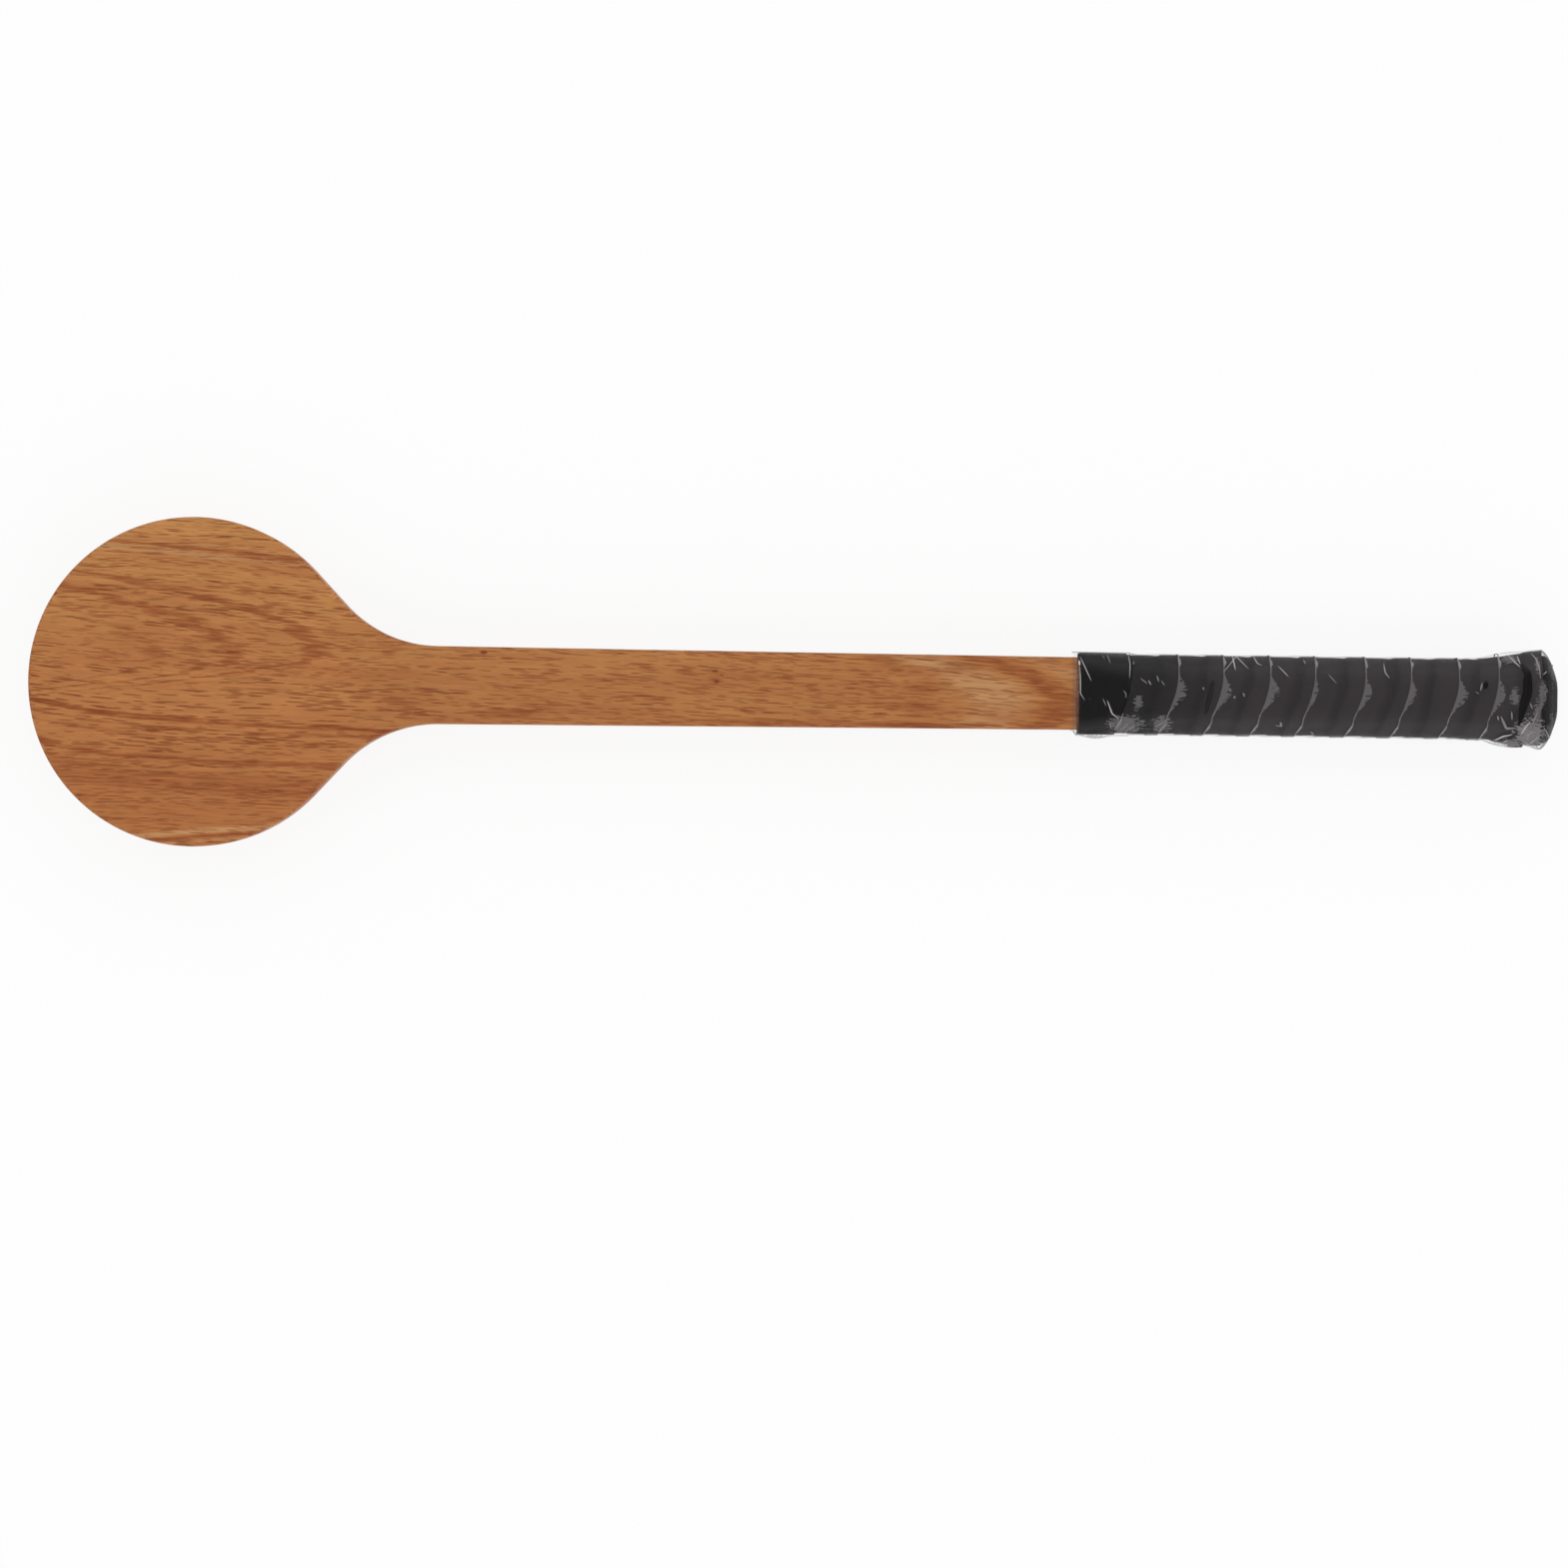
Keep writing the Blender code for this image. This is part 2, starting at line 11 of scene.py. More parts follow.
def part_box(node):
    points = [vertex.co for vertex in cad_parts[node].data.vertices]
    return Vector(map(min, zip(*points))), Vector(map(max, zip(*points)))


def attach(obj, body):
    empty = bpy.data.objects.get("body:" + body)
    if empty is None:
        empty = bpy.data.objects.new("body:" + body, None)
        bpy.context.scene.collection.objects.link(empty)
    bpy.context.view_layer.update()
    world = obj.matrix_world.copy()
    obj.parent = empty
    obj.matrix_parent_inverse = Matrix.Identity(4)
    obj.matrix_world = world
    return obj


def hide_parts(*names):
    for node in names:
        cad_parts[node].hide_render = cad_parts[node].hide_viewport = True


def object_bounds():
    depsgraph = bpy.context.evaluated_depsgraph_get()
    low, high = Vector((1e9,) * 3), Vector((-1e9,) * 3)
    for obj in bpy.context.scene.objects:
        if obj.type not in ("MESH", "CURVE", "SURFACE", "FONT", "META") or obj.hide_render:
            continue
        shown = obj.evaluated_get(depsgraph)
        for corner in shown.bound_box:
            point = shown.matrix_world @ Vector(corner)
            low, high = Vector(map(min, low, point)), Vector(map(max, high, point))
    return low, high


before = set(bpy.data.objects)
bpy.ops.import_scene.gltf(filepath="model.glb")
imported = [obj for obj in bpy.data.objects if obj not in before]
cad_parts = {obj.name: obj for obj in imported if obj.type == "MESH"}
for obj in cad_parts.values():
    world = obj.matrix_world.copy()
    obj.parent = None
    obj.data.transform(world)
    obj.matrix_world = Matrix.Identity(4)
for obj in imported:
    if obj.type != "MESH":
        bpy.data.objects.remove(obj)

bl_info = {
    "name": "Wooden tennis pointer",
    "version": (1, 0, 0),
    "blender": (4, 5, 0),
    "location": "3D View > Sidebar > Pointer",
    "description": "Builds a hardwood tennis pointer with a wrapped grip that is still in its clear film",
    "category": "Object",
}

CAD_BOX = [list(corner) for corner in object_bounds()]
MM = 0.001

# Stations along the pointer and outer sizes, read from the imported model
TIP_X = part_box("blade")[0].x
BUTT_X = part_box("butt_cap")[1].x
COLLAR_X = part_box("butt_cap")[0].x
GRIP_TOP_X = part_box("grip_wrap")[0].x
STRIP_BUTT_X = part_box("grip_wrap")[1].x
HEAD_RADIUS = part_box("blade")[1].y
BOARD_THICKNESS = 2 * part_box("blade")[1].z
CAP_HALF_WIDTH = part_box("butt_cap")[1].y

# The bare handle, as in the model
HANDLE_WIDTH = 0.0242
HANDLE_THICKNESS = 0.0210
HANDLE_CHAMFER = 0.0042
CHAMFER_AT_GRIP_TOP = 0.0012
CHAMFER_RUN_OUT = 0.022
CORNER_RADIUS = 0.0012
COLLAR_WALL = 0.0012
COLLAR_RISE = 0.0002
COLLAR_TAPER = 0.0025
FLARE_RISE = CAP_HALF_WIDTH - HANDLE_WIDTH / 2
FLARE_LENGTH = 0.024
DOME_LENGTH = 0.0054
DOME_DROP_Y = 0.0092
DOME_DROP_Z = 0.0063
DOME_CURVE = 2.1
CAP_FLOOR = 0.007
FIT_GAP = 0.0003
SKIN_GAP = 0.00025
STRIP_LOW = 0.00025
STRIP_START_WIDTH = 0.0008
LAP_CLEARANCE = 0.0005
LAP_SLOPE = 0.0018
TAPE_THICKNESS = 0.00015
FILM_THICKNESS = 0.0001
FILM_ON_WOOD = 0.0024
FILM_ON_DOME = 0.0036
FILM_RISE = 0.0012
OFFSET_TO_CHAMFER = 1 - math.tan(math.pi / 8)

RIM_X = BUTT_X - DOME_LENGTH
FLARE_X = RIM_X - FLARE_LENGTH
SHOULDER_X = GRIP_TOP_X - FIT_GAP
FILM_END_X = RIM_X + FILM_ON_DOME
# Over this reach, and at this height over the handle, the soft layers' shading rolls round a corner
SOFT_REACH = 0.004
SOFT_HEIGHT = 0.0024
# Between these numbers of turns the strip climbs onto its first lap
LIFT_STARTS = 0.75
LIFT_ENDS = 0.92

# Winding by hand: after so many turns the seam lies so many millimetres off its even place
UNEVEN_TURNS = (
    (0, 0), (1.33, 0), (2.33, 0.5), (3.33, 2.9), (4.33, 1.8), (5.33, 2.0), (6.33, 0.2), (7.33, 0.7),
    (8.33, 0.3), (9.33, 0.6), (10.33, 0), (14, 0),
)
# Shares of the widest tent that the film makes at each seam, from the butt
TENT_SHARES = (0.5, 0.55, 0.9, 1.15, 0.8, 0.8, 0.5, 1.2, 1.1, 1.15, 0.3, 0.3)
# Grey patches in the film, partly its haziness and partly painted reflection, in millimetres: centre, reach
# along and across, strength
FILM_PATCHES = (
    (115.8, -10.8, 6.2, 3.0, 0.3), (128.6, -10.4, 3.2, 2.8, 0.27), (120.0, -2.9, 1.4, 2.8, 0.24),
    (251.2, 1.1, 1.6, 3.2, 0.26), (256.6, -12.0, 5.2, 5.4, 0.6), (264.2, -6.0, 0.8, 1.6, 0.12),
    (249.5, 14.0, 3.0, 1.4, 0.3), (98.0, 0.0, 1.6, 40.0, 0.05), (104.0, -15.5, 6.0, 1.4, 0.35),
    (260.7, 2.2, 1.7, 4.6, 0.26), (258.8, -6.0, 1.3, 5.6, 0.26), (258.9, 12.0, 0.9, 3.0, 0.4),
    (249.8, -15.6, 4.6, 1.9, 0.4),
)
# Creases, bubbles and painted glints, in millimetres: half width, paleness (nil for painted shade in a
# groove, high for a painted highlight), then x and y of each point
FILM_MARKS = (
    (0.3, 1.0, 99.4, 11.6, 99.6, 9.6), (0.16, 0.75, 99.6, 9.8, 99.9, 5.6, 100.0, 0.0, 101.6, -2.5),
    (0.2, 0.55, 99.7, 12.8, 103.8, 4.2), (0.26, 0.42, 116.6, 13.7, 117.2, 10.5, 117.0, 5.4),
    (0.65, 0.02, 146.1, 5.4, 145.2, 0.0, 143.5, -7.2), (0.35, 0.7, 103.0, -1.9, 103.5, -2.0),
    (0.22, 0.75, 109.3, -2.2, 111.1, -6.9, 113.6, -8.8), (0.14, 0.4, 107.8, -1.6, 109.0, -4.4),
    (0.3, 0.9, 111.0, -6.8, 111.3, -7.4), (0.2, 0.45, 114.9, -6.6, 114.2, -9.4, 112.0, -12.6),
    (0.18, 0.4, 110.2, -9.8, 111.0, -12.4), (0.16, 0.35, 109.2, 13.6, 110.3, 10.6),
    (0.14, 0.25, 107.4, 13.6, 108.4, 12.0), (0.2, 0.3, 114.8, 1.3, 115.8, 0.2, 115.9, -1.6),
    (0.35, 0.25, 126.9, 6.8, 127.6, 6.2), (0.2, 0.4, 126.5, 6.6, 127.3, 4.3),
    (0.16, 0.35, 128.0, 4.9, 129.4, 3.0), (0.26, 0.4, 123.6, 4.9, 124.6, 3.1),
    (0.3, 0.22, 120.7, 5.6, 123.4, 3.6), (0.5, 0.22, 142.8, 2.9, 142.8, 1.6),
    (0.32, 0.22, 142.1, -0.2, 142.1, -0.8), (0.45, 0.25, 152.0, 2.2, 152.2, 1.1),
    (0.5, 0.3, 153.5, -0.1, 153.8, -1.2), (0.3, 0.35, 156.6, 1.0, 157.2, -0.5),
    (0.2, 0.75, 153.0, 13.7, 153.9, 8.7), (0.17, 0.7, 154.0, 14.0, 158.5, 9.2),
    (0.22, 0.55, 160.2, 13.9, 161.6, 11.2, 163.3, 10.6), (0.18, 0.55, 168.7, 10.5, 172.4, 6.7),
    (0.2, 0.4, 177.6, 12.9, 178.4, 11.2), (0.14, 0.35, 186.2, 7.8, 189.2, 4.5),
    (0.22, 0.45, 205.6, 11.9, 206.0, 8.6, 207.6, 6.6), (0.3, 0.2, 170.0, -2.8, 170.2, -3.3),
    (0.45, 0.22, 178.4, -2.8, 178.8, -3.7), (0.25, 0.25, 190.6, 2.2, 191.0, 1.6),
    (0.4, 0.2, 223.4, 3.6, 223.7, 3.0), (0.35, 0.22, 223.1, 1.0, 223.3, 0.4),
    (0.3, 0.2, 224.5, 0.1, 224.8, -0.4), (0.4, 0.3, 239.5, 9.1, 239.8, 8.5),
    (0.75, 0.0, 241.2, 6.2, 240.8, 3.2), (0.35, 0.3, 239.8, 5.6, 239.2, 2.6),
    (0.2, 0.25, 237.4, 2.4, 238.8, 1.6), (0.3, 0.6, 221.5, -10.9, 221.8, -11.3),
    (0.28, 0.5, 220.5, -12.4, 220.8, -12.8), (0.3, 0.4, 222.6, -13.5, 222.9, -13.8),
    (0.3, 0.7, 234.0, -12.1, 234.5, -12.5), (0.24, 0.35, 168.0, -10.2, 170.4, -10.6),
    (0.4, 0.35, 169.8, -9.0, 170.2, -10.8), (0.2, 0.5, 180.4, -12.2, 181.8, -13.4),
    (1.5, 0.0, 253.0, 12.6, 255.4, 9.0, 255.4, 2.2, 253.8, -3.4, 252.6, -9.4),
    (0.26, 0.4, 256.6, 16.4, 258.4, 14.2, 259.4, 11.0, 259.8, 7.0), (0.24, 0.35, 256.2, -1.2, 257.2, -3.4),
    (0.3, 0.3, 250.0, -4.2, 250.2, -7.4), (0.28, 0.85, 244.4, -14.6, 247.6, -13.0, 250.6, -12.4),
    (0.5, 0.3, 246.3, -6.0, 248.3, -10.3, 251.6, -10.1), (0.3, 0.4, 245.2, -5.8, 245.6, -7.6),
    (0.2, 0.35, 113.6, -13.2, 117.4, -9.8), (0.22, 0.4, 115.4, -13.6, 119.6, -10.6),
    (0.18, 0.3, 112.4, -12.6, 114.6, -10.0), (0.2, 0.3, 118.6, -13.2, 121.0, -11.8),
    (0.22, 0.35, 126.2, -11.6, 129.6, -9.2), (0.18, 0.3, 127.0, -13.0, 130.6, -10.4),
    (0.4, 0.02, 247.6, -14.0, 250.8, -13.4, 252.8, -11.0), (0.3, 0.55, 247.6, -14.9, 249.2, -14.6),
    (0.35, 0.5, 249.0, 15.3, 251.2, 12.8, 253.0, 11.0), (0.25, 0.55, 252.0, 15.2, 253.0, 12.0),
    (0.3, 0.6, 253.4, -12.6, 255.0, -9.6, 256.4, -8.0),
    (0.3, 0.5, 252.6, -14.0, 256.6, -15.6, 260.2, -12.6), (0.22, 0.5, 255.2, -12.6, 258.4, -11.2),
    (0.25, 0.02, 256.0, -7.2, 257.2, -7.8), (0.3, 0.45, 262.4, 14.9, 264.6, 11.9, 265.7, 8.9),
    (0.2, 0.4, 262.4, -12.4, 264.4, -13.4), (0.16, 0.45, 265.0, -8.0, 265.2, -9.8),
)
# How far the tape's butt edge lies off straight, in millimetres, at shares of a turn
TAPE_EDGE = (
    (0, -1.0), (0.1, -1.2), (0.23, 0), (0.33, 0), (0.43, -3.0), (0.55, -5.6), (0.75, -4.4), (1, -1.0),
)
# The floor's distance under the pointer and half its side, the lamps and the camera's sensor
FLOOR_GAP = 0.0002
FLOOR_HALF = 9.0
KEY_SPOT = (-0.25, 1.25, 1.6)
FILL_SPOT = (0.5, -1.4, 1.3)
LAMP_SIZE = 2.4
SENSOR_MM = 36.0
# Edges with a sharper turn than this stay hard
SHARP_ANGLE = math.radians(50)
# How far from the next seam the strip's outside starts to drop to its thin edge, and has dropped
DROP_TOP = 0.35 * MM
DROP_FOOT = 0.15 * MM
# The strip's columns: edge, foot of the lap's slope, next seam, drop beside it, far edge
STRIP_COLUMNS = (0, 7, 14, 15, 18)
STRIP_INPUTS = (
    "Turns", "Pitch", "Width", "Start Edge", "Butt Limit", "Head Limit", "Guide Start", "Guide Length",
    "Low", "Lift", "Thickness", "Body", "Dip", "Clearance", "Slope", "Bow", "Bow Centre", "Bow Reach",
    "Lift Starts", "Lift Ends",
)


def linear(hex_colour):
    """An sRGB hex colour as linear red, green, blue and alpha."""
    parts = [int(hex_colour[i : i + 2], 16) / 255 for i in (1, 3, 5)]
    return tuple(p / 12.92 if p <= 0.04045 else ((p + 0.055) / 1.055) ** 2.4 for p in parts) + (1.0,)


def add_node(tree, kind, *values, **settings):
    """Adds a node by its short name, with its operation, or other main setting, after a space.

    The values fill its inputs in order, or by name from a dictionary. A node among them stands for
    its first output in use.
    """
    kind, _, mode = kind.partition(" ")
    first = "GeometryNode" if tree.bl_idname == "GeometryNodeTree" else "ShaderNode"
    node = tree.nodes.new(next(p + kind for p in (first, "ShaderNode", "") if hasattr(bpy.types, p + kind)))
    if mode:
        main_setting = next(f for f in ("operation", "interpolation_type", "data_type") if hasattr(node, f))
        setattr(node, main_setting, mode)
    for name, value in settings.items():
        setattr(node, name, value)
    inputs = {}
    for index, value in enumerate(values):
        inputs.update(value if isinstance(value, dict) else {index: value})
    for name, value in inputs.items():
        if isinstance(value, bpy.types.Node):
            value = next(socket for socket in value.outputs if socket.enabled)
        if isinstance(value, bpy.types.NodeSocket):
            tree.links.new(value, node.inputs[name])
        else:
            node.inputs[name].default_value = value
    return node


def new_material(name):
    """An empty node material and the call that adds a node to it."""
    material = bpy.data.materials.new(name)
    material.use_nodes = True
    material.node_tree.nodes.clear()
    return material, partial(add_node, material.node_tree)


def smoothstep(value):
    value = np.clip(value, 0.0, 1.0)
    return value * value * (3 - 2 * value)


def handle_section(x):
    """Half width, half thickness and chamfer of the bare handle and cap at stations x."""
    chamfer = CHAMFER_AT_GRIP_TOP
    chamfer = chamfer + (HANDLE_CHAMFER - chamfer) * smoothstep((x - GRIP_TOP_X) / CHAMFER_RUN_OUT)
    rise = COLLAR_RISE * smoothstep((x - COLLAR_X) / COLLAR_TAPER)
    rise = rise + (FLARE_RISE - COLLAR_RISE) * smoothstep((x - FLARE_X) / FLARE_LENGTH)
    fall = np.clip((x - RIM_X) / DOME_LENGTH, 0.0, 1.0) ** DOME_CURVE
    chamfer = chamfer + OFFSET_TO_CHAMFER * rise
    width, thickness = HANDLE_WIDTH / 2 + rise, HANDLE_THICKNESS / 2 + rise
    shrink = 1 - DOME_DROP_Y * fall / width
    return width - DOME_DROP_Y * fall, thickness - DOME_DROP_Z * fall, chamfer * shrink


class Ring:
    """Columns round the handle, wound from +Y over the front: rounded corners with flats between."""

    def __init__(self, arc_steps, flat_step):
        spots = []
        eighth = math.radians(45)
        for turn in range(8):
            corner, after = (5 + turn) % 8, (6 + turn) % 8
            first = math.radians(90 + 45 * corner)
            spots += [(corner, corner, 0.0, first + eighth * s / arc_steps) for s in range(arc_steps + 1)]
            ends = self.cores(np.array([corner, after]), np.array([[COLLAR_X]]))
            length = float(np.hypot(*(ends[0, 1] - ends[0, 0])))
            count = max(round(length / flat_step), 1)
            spots += [(corner, after, step / count, first + eighth) for step in range(1, count)]
        spots.append(spots[0])
        self.corner, self.after, self.blend, self.angle = (np.array(values) for values in zip(*spots))
        spots = self.row(COLLAR_X)
        steps = np.linalg.norm(np.diff(spots, axis=0), axis=1)
        self.share = np.concatenate([[0.0], np.cumsum(steps)]) / steps.sum()
        self.outward = np.stack([0 * self.angle, np.cos(self.angle), np.sin(self.angle)], axis=-1)

    @staticmethod
    def cores(corner, x):
        """Centres (y, z) of the corner arcs at stations x."""
        width, thickness, chamfer = handle_section(x)
        middle = np.radians(112.5 + 45 * corner)
        beside = np.abs(np.cos(middle)) > np.abs(np.sin(middle))
        cut = chamfer - OFFSET_TO_CHAMFER * CORNER_RADIUS
        y = np.sign(np.cos(middle)) * (width - CORNER_RADIUS - np.where(beside, 0.0, cut))
        z = np.sign(np.sin(middle)) * (thickness - CORNER_RADIUS - np.where(beside, cut, 0.0))
        return np.stack([y, z], axis=-1)

    def row(self, x, height=0.0):
        """One row of points, all at station x."""
        return self.points(np.full((1, len(self.angle)), x), height)[0]

    def points(self, x, height):
        """Points at stations x, one row each with a station for every column, raised by a height."""
        start, end = self.cores(self.corner, x), self.cores(self.after, x)
        core = start + (end - start) * self.blend[:, None]
        reach = np.broadcast_to(CORNER_RADIUS + height, x.shape)
        y = core[..., 0] + reach * np.cos(self.angle)
        z = core[..., 1] + reach * np.sin(self.angle)
        return np.stack([x, y, z], axis=-1)


def seam_bow(share, grip):
    """How far the winding swings towards the head, away from the middle of the front."""
    away = np.abs((share - grip.bow_centre + 0.5) % 1 - 0.5)
    return -grip.bow_depth * smoothstep(away / grip.bow_reach)


def butt_edge(turns, grip):
    """Where the strip's butt-side edge lies after so many turns."""
    start = STRIP_BUTT_X - STRIP_START_WIDTH + grip.strip_width
    uneven = np.interp(turns, *zip(*UNEVEN_TURNS)) * MM
    return start - grip.strip_pitch * turns + uneven + seam_bow(turns % 1, grip)


def mesh_of(name, points, faces, smooth=True):
    mesh = bpy.data.meshes.new(name)
    mesh.from_pydata([tuple(p) for p in points], [], faces)
    if smooth:
        mesh.shade_smooth()
    mesh.update()
    return mesh


def note(mesh, name, kind, values, domain="POINT"):
    """Stores values on a mesh under a name."""
    layer = mesh.attributes.new(name, kind, domain)
    layer.data.foreach_set("value" if kind == "FLOAT" else "vector", np.array(values, np.float32).ravel())


def closed_tube(name, loops, closed_along):
    """A mesh through loops of points. Its ends are capped, or joined where it runs round."""
    loops = np.asarray(loops)
    count, around = loops.shape[:2]
    faces = []
    for row in range(count if closed_along else count - 1):
        after = (row + 1) % count
        for column in range(around):
            beside = (column + 1) % around
            here, there = row * around, after * around
            faces.append((here + column, here + beside, there + beside, there + column))
    if not closed_along:
        faces.append(tuple(range(around))[::-1])
        faces.append(tuple((count - 1) * around + i for i in range(around)))
    return mesh_of(name, loops.reshape(-1, 3), faces)


def settle(mesh, distance=1e-6):
    """Welds doubles and turns every face outwards."""
    form = bmesh.new()
    form.from_mesh(mesh)
    bmesh.ops.remove_doubles(form, verts=form.verts, dist=distance)
    bmesh.ops.dissolve_degenerate(form, edges=form.edges, dist=distance)
    bmesh.ops.recalc_face_normals(form, faces=form.faces)
    if form.calc_volume(signed=True) < 0:
        bmesh.ops.reverse_faces(form, faces=form.faces)
    form.to_mesh(mesh)
    form.free()
    return mesh


def soften(mesh):
    """Shades the corners of the soft layers as one gradual roll, which their flats blend into."""
    ring = Ring(5, 1.0 * MM)
    stations = np.arange(GRIP_TOP_X - 4 * MM, BUTT_X, MM)
    rows = ring.points(np.repeat(stations[:, None], len(ring.share), axis=1), SOFT_HEIGHT)
    loops = np.empty(len(mesh.loops), np.int32)
    mesh.loops.foreach_get("vertex_index", loops)
    spots = np.empty(3 * len(mesh.vertices), np.float32)
    mesh.vertices.foreach_get("co", spots)
    spots = spots.reshape(-1, 3)[loops]
    normals = np.empty(3 * len(loops), np.float32)
    mesh.corner_normals.foreach_get("vector", normals)
    normals = normals.reshape(-1, 3)
    nearest = np.clip(np.round((spots[:, 0] - stations[0]) / MM), 0, len(stations) - 1).astype(int)
    around = np.arctan2(spots[:, 2], spots[:, 1])
    turned = np.zeros(len(loops))
    full = 2 * math.pi
    angle = np.unwrap(ring.angle)
    for index, row in enumerate(rows):
        chosen = nearest == index
        if not chosen.any():
            continue
        steps = np.linalg.norm(np.diff(row, axis=0), axis=1)
        along = np.concatenate([[0.0], np.cumsum(steps)])
        far = along[-1]
        track = np.concatenate([along[:-1] - far, along[:-1], along + far])
        angles = np.concatenate([angle[:-1] - full, angle[:-1], angle + full])
        sums = np.concatenate([[0.0], np.cumsum(np.diff(track) * (angles[1:] + angles[:-1]) / 2)])
        ahead = np.interp(along + SOFT_REACH, track, sums)
        behind = np.interp(along - SOFT_REACH, track, sums)
        change = (ahead - behind) / (2 * SOFT_REACH) - angle
        polar = np.unwrap(np.arctan2(row[:, 2], row[:, 1]))
        wanted = polar[0] + (around[chosen] - polar[0]) % full
        turned[chosen] = np.interp(wanted, polar, change)
    y = normals[:, 1] * np.cos(turned) - normals[:, 2] * np.sin(turned)
    z = normals[:, 1] * np.sin(turned) + normals[:, 2] * np.cos(turned)
    mesh.normals_split_custom_set(np.stack([normals[:, 0], y, z], axis=-1).tolist())


def add_piece(name, mesh, material, slot, *nodes):
    """Puts a mesh in the scene as a piece that rides on the body and stands for CAD nodes."""
    piece = bpy.data.objects.new(name, mesh)
    mesh.materials.clear()
    mesh.materials.append(material)
    bpy.context.scene.collection.objects.link(piece)
    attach(piece, "root")
    if nodes:
        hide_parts(*nodes)
    return piece


# The head's growth rings and streaks, in millimetres: centre, half width, strength
CATHEDRAL_BANDS = (
    (-206.5, 4.0, 0.4), (-192.5, 1.4, 0.3), (-178.5, 5.4, 0.76), (-165.5, 1.6, 0.32), (-150.5, 5.4, 0.78),
    (-136.5, 1.5, 0.32), (-122.5, 4.5, 0.42),
)
LONG_STREAKS = ((-6.5, 1.2, 1.0), (-9.4, 0.8, 0.7), (-12.6, 0.8, 0.5), (-20.0, 1.5, 0.8), (-28.0, 5.5, 0.45))
# Darker patches and knots, in millimetres: centre, reach along and across, strength
PATCHES = (
    (46.0, 1.0, 9.0, 3.2, 0.5), (30.0, 11.0, 9.0, 2.8, 0.5), (59.0, 9.0, 13.0, 2.2, 0.6),
    (43.0, -6.0, 11.0, 3.0, 0.55), (47.0, -12.0, 28.0, 1.7, 0.85), (-8.0, -11.5, 26.0, 1.6, 0.6),
    (-100.0, -9.6, 13.0, 2.4, 0.7), (-27.0, 4.4, 4.0, 4.2, 0.35),
)
KNOTS = (
    (-107.9, 11.5, 2.0, 0.9, 0.85), (-27.3, 6.1, 1.5, 0.6, 0.85), (-26.7, 2.4, 1.3, 0.7, 0.85),
    (-24.9, 4.7, 0.7, 0.4, 0.85),
)


def ramp(add, value, stops, interpolation="EASE"):
    """A greyscale colour ramp over stops of (position, brightness)."""
    node = add("ValToRGB", value)
    node.color_ramp.interpolation = interpolation
    elements = node.color_ramp.elements
    while len(elements) > 1:
        elements.remove(elements[-1])
    elements[0].position = stops[0][0]
    elements[0].color = (stops[0][1],) * 3 + (1,)
    for position, level in stops[1:]:
        elements.new(position).color = (level,) * 3 + (1,)
    return node


def band_ramp(add, value, bands, low, high):
    """A ramp that rises to each band (centre, half width, strength) between two limits."""
    stops = [(0.0, 0.0)]
    for centre, half, strength in sorted(bands):
        for place, level in ((-1, 0.0), (-0.35, strength), (0.35, strength), (1, 0.0)):
            stops.append(((centre + place * half - low) / (high - low), level))
    scaled = add("MapRange", value, low, high)
    return ramp(add, scaled, stops)


def stretched_noise(add, place, scale, detail, roughness=0.5):
    """Noise in millimetres with its own scale along each axis."""
    scaled = add("VectorMath MULTIPLY", place, scale)
    return add("TexNoise", {"Vector": scaled, "Scale": 1.0, "Detail": detail, "Roughness": roughness})


def coat(add, colour, rough, ior, specular, bump=None):
    """Ends a material's tree on one Principled shader."""
    inputs = {"Base Color": colour, "Roughness": rough, "IOR": ior, "Specular IOR Level": specular}
    if bump:
        inputs["Normal"] = bump
    add("OutputMaterial", add("BsdfPrincipled", inputs))


def blots(add, mm, rag, ragged, rows, depth, edge, under=None, **settings):
    """Blots (centre, reach along and across, strength) at a height, with an edge that a noise tears."""
    for x, y, reach_x, reach_y, strength in rows:
        moved = add("VectorMath SUBTRACT", mm, (x, y, depth[0]))
        scaled = add("VectorMath MULTIPLY", moved, (1 / reach_x, 1 / reach_y, depth[1]))
        away = add("VectorMath LENGTH", scaled)
        torn = add("Math MULTIPLY_ADD", rag, ragged, away)
        blot = add("MapRange", torn, *edge, {4: strength}, **settings)
        under = blot if under is None else add("Math MAXIMUM", under, blot)
    return under


def cathedral(add, x, y, z, tear):
    """Growth rings cut flat: reddish tongues in the upper head that point to the shaft."""
    torn = add("Math MULTIPLY_ADD", tear, 30.0, -15.0)
    axis = add("Math MULTIPLY_ADD", x, 0.06, 20.0)
    off = add("Math SUBTRACT", y, axis)
    below = add("Math LESS_THAN", off, 0.0)
    curve = add("Math MULTIPLY_ADD", below, 1.0, 0.0775)
    squared = add("Math MULTIPLY", off, off)
    bent = add("Math MULTIPLY_ADD", squared, curve, x)
    deep = add("Math MULTIPLY_ADD", z, 1.5, bent)
    rings = add("Math ADD", deep, torn)
    bands = band_ramp(add, rings, CATHEDRAL_BANDS, -260, -100)
    fade = add("MapRange SMOOTHSTEP", off, -14.0, -7.0, 0.4)
    return add("Math MULTIPLY", bands, fade)


def long_streaks(add, x, y, tear):
    """Long dark streaks in the lower half of the head, curling up towards the tip."""
    from_tip = add("Math ADD", x, 266.0)
    fall = add("Math MULTIPLY", from_tip, -1 / 28.0)
    decay = add("Math EXPONENT", fall)
    rise = add("Math MULTIPLY_ADD", decay, -7.0, y)
    slow = add("Math MULTIPLY_ADD", from_tip, 0.02, rise)
    fray = add("Math MULTIPLY_ADD", tear, 4.0, 5.0)
    level = add("Math ADD", slow, fray)
    streaks = band_ramp(add, level, LONG_STREAKS, -45, 15)
    head = add("MapRange SMOOTHSTEP", x, -95.0, -140.0)
    return add("Math MULTIPLY", streaks, head)


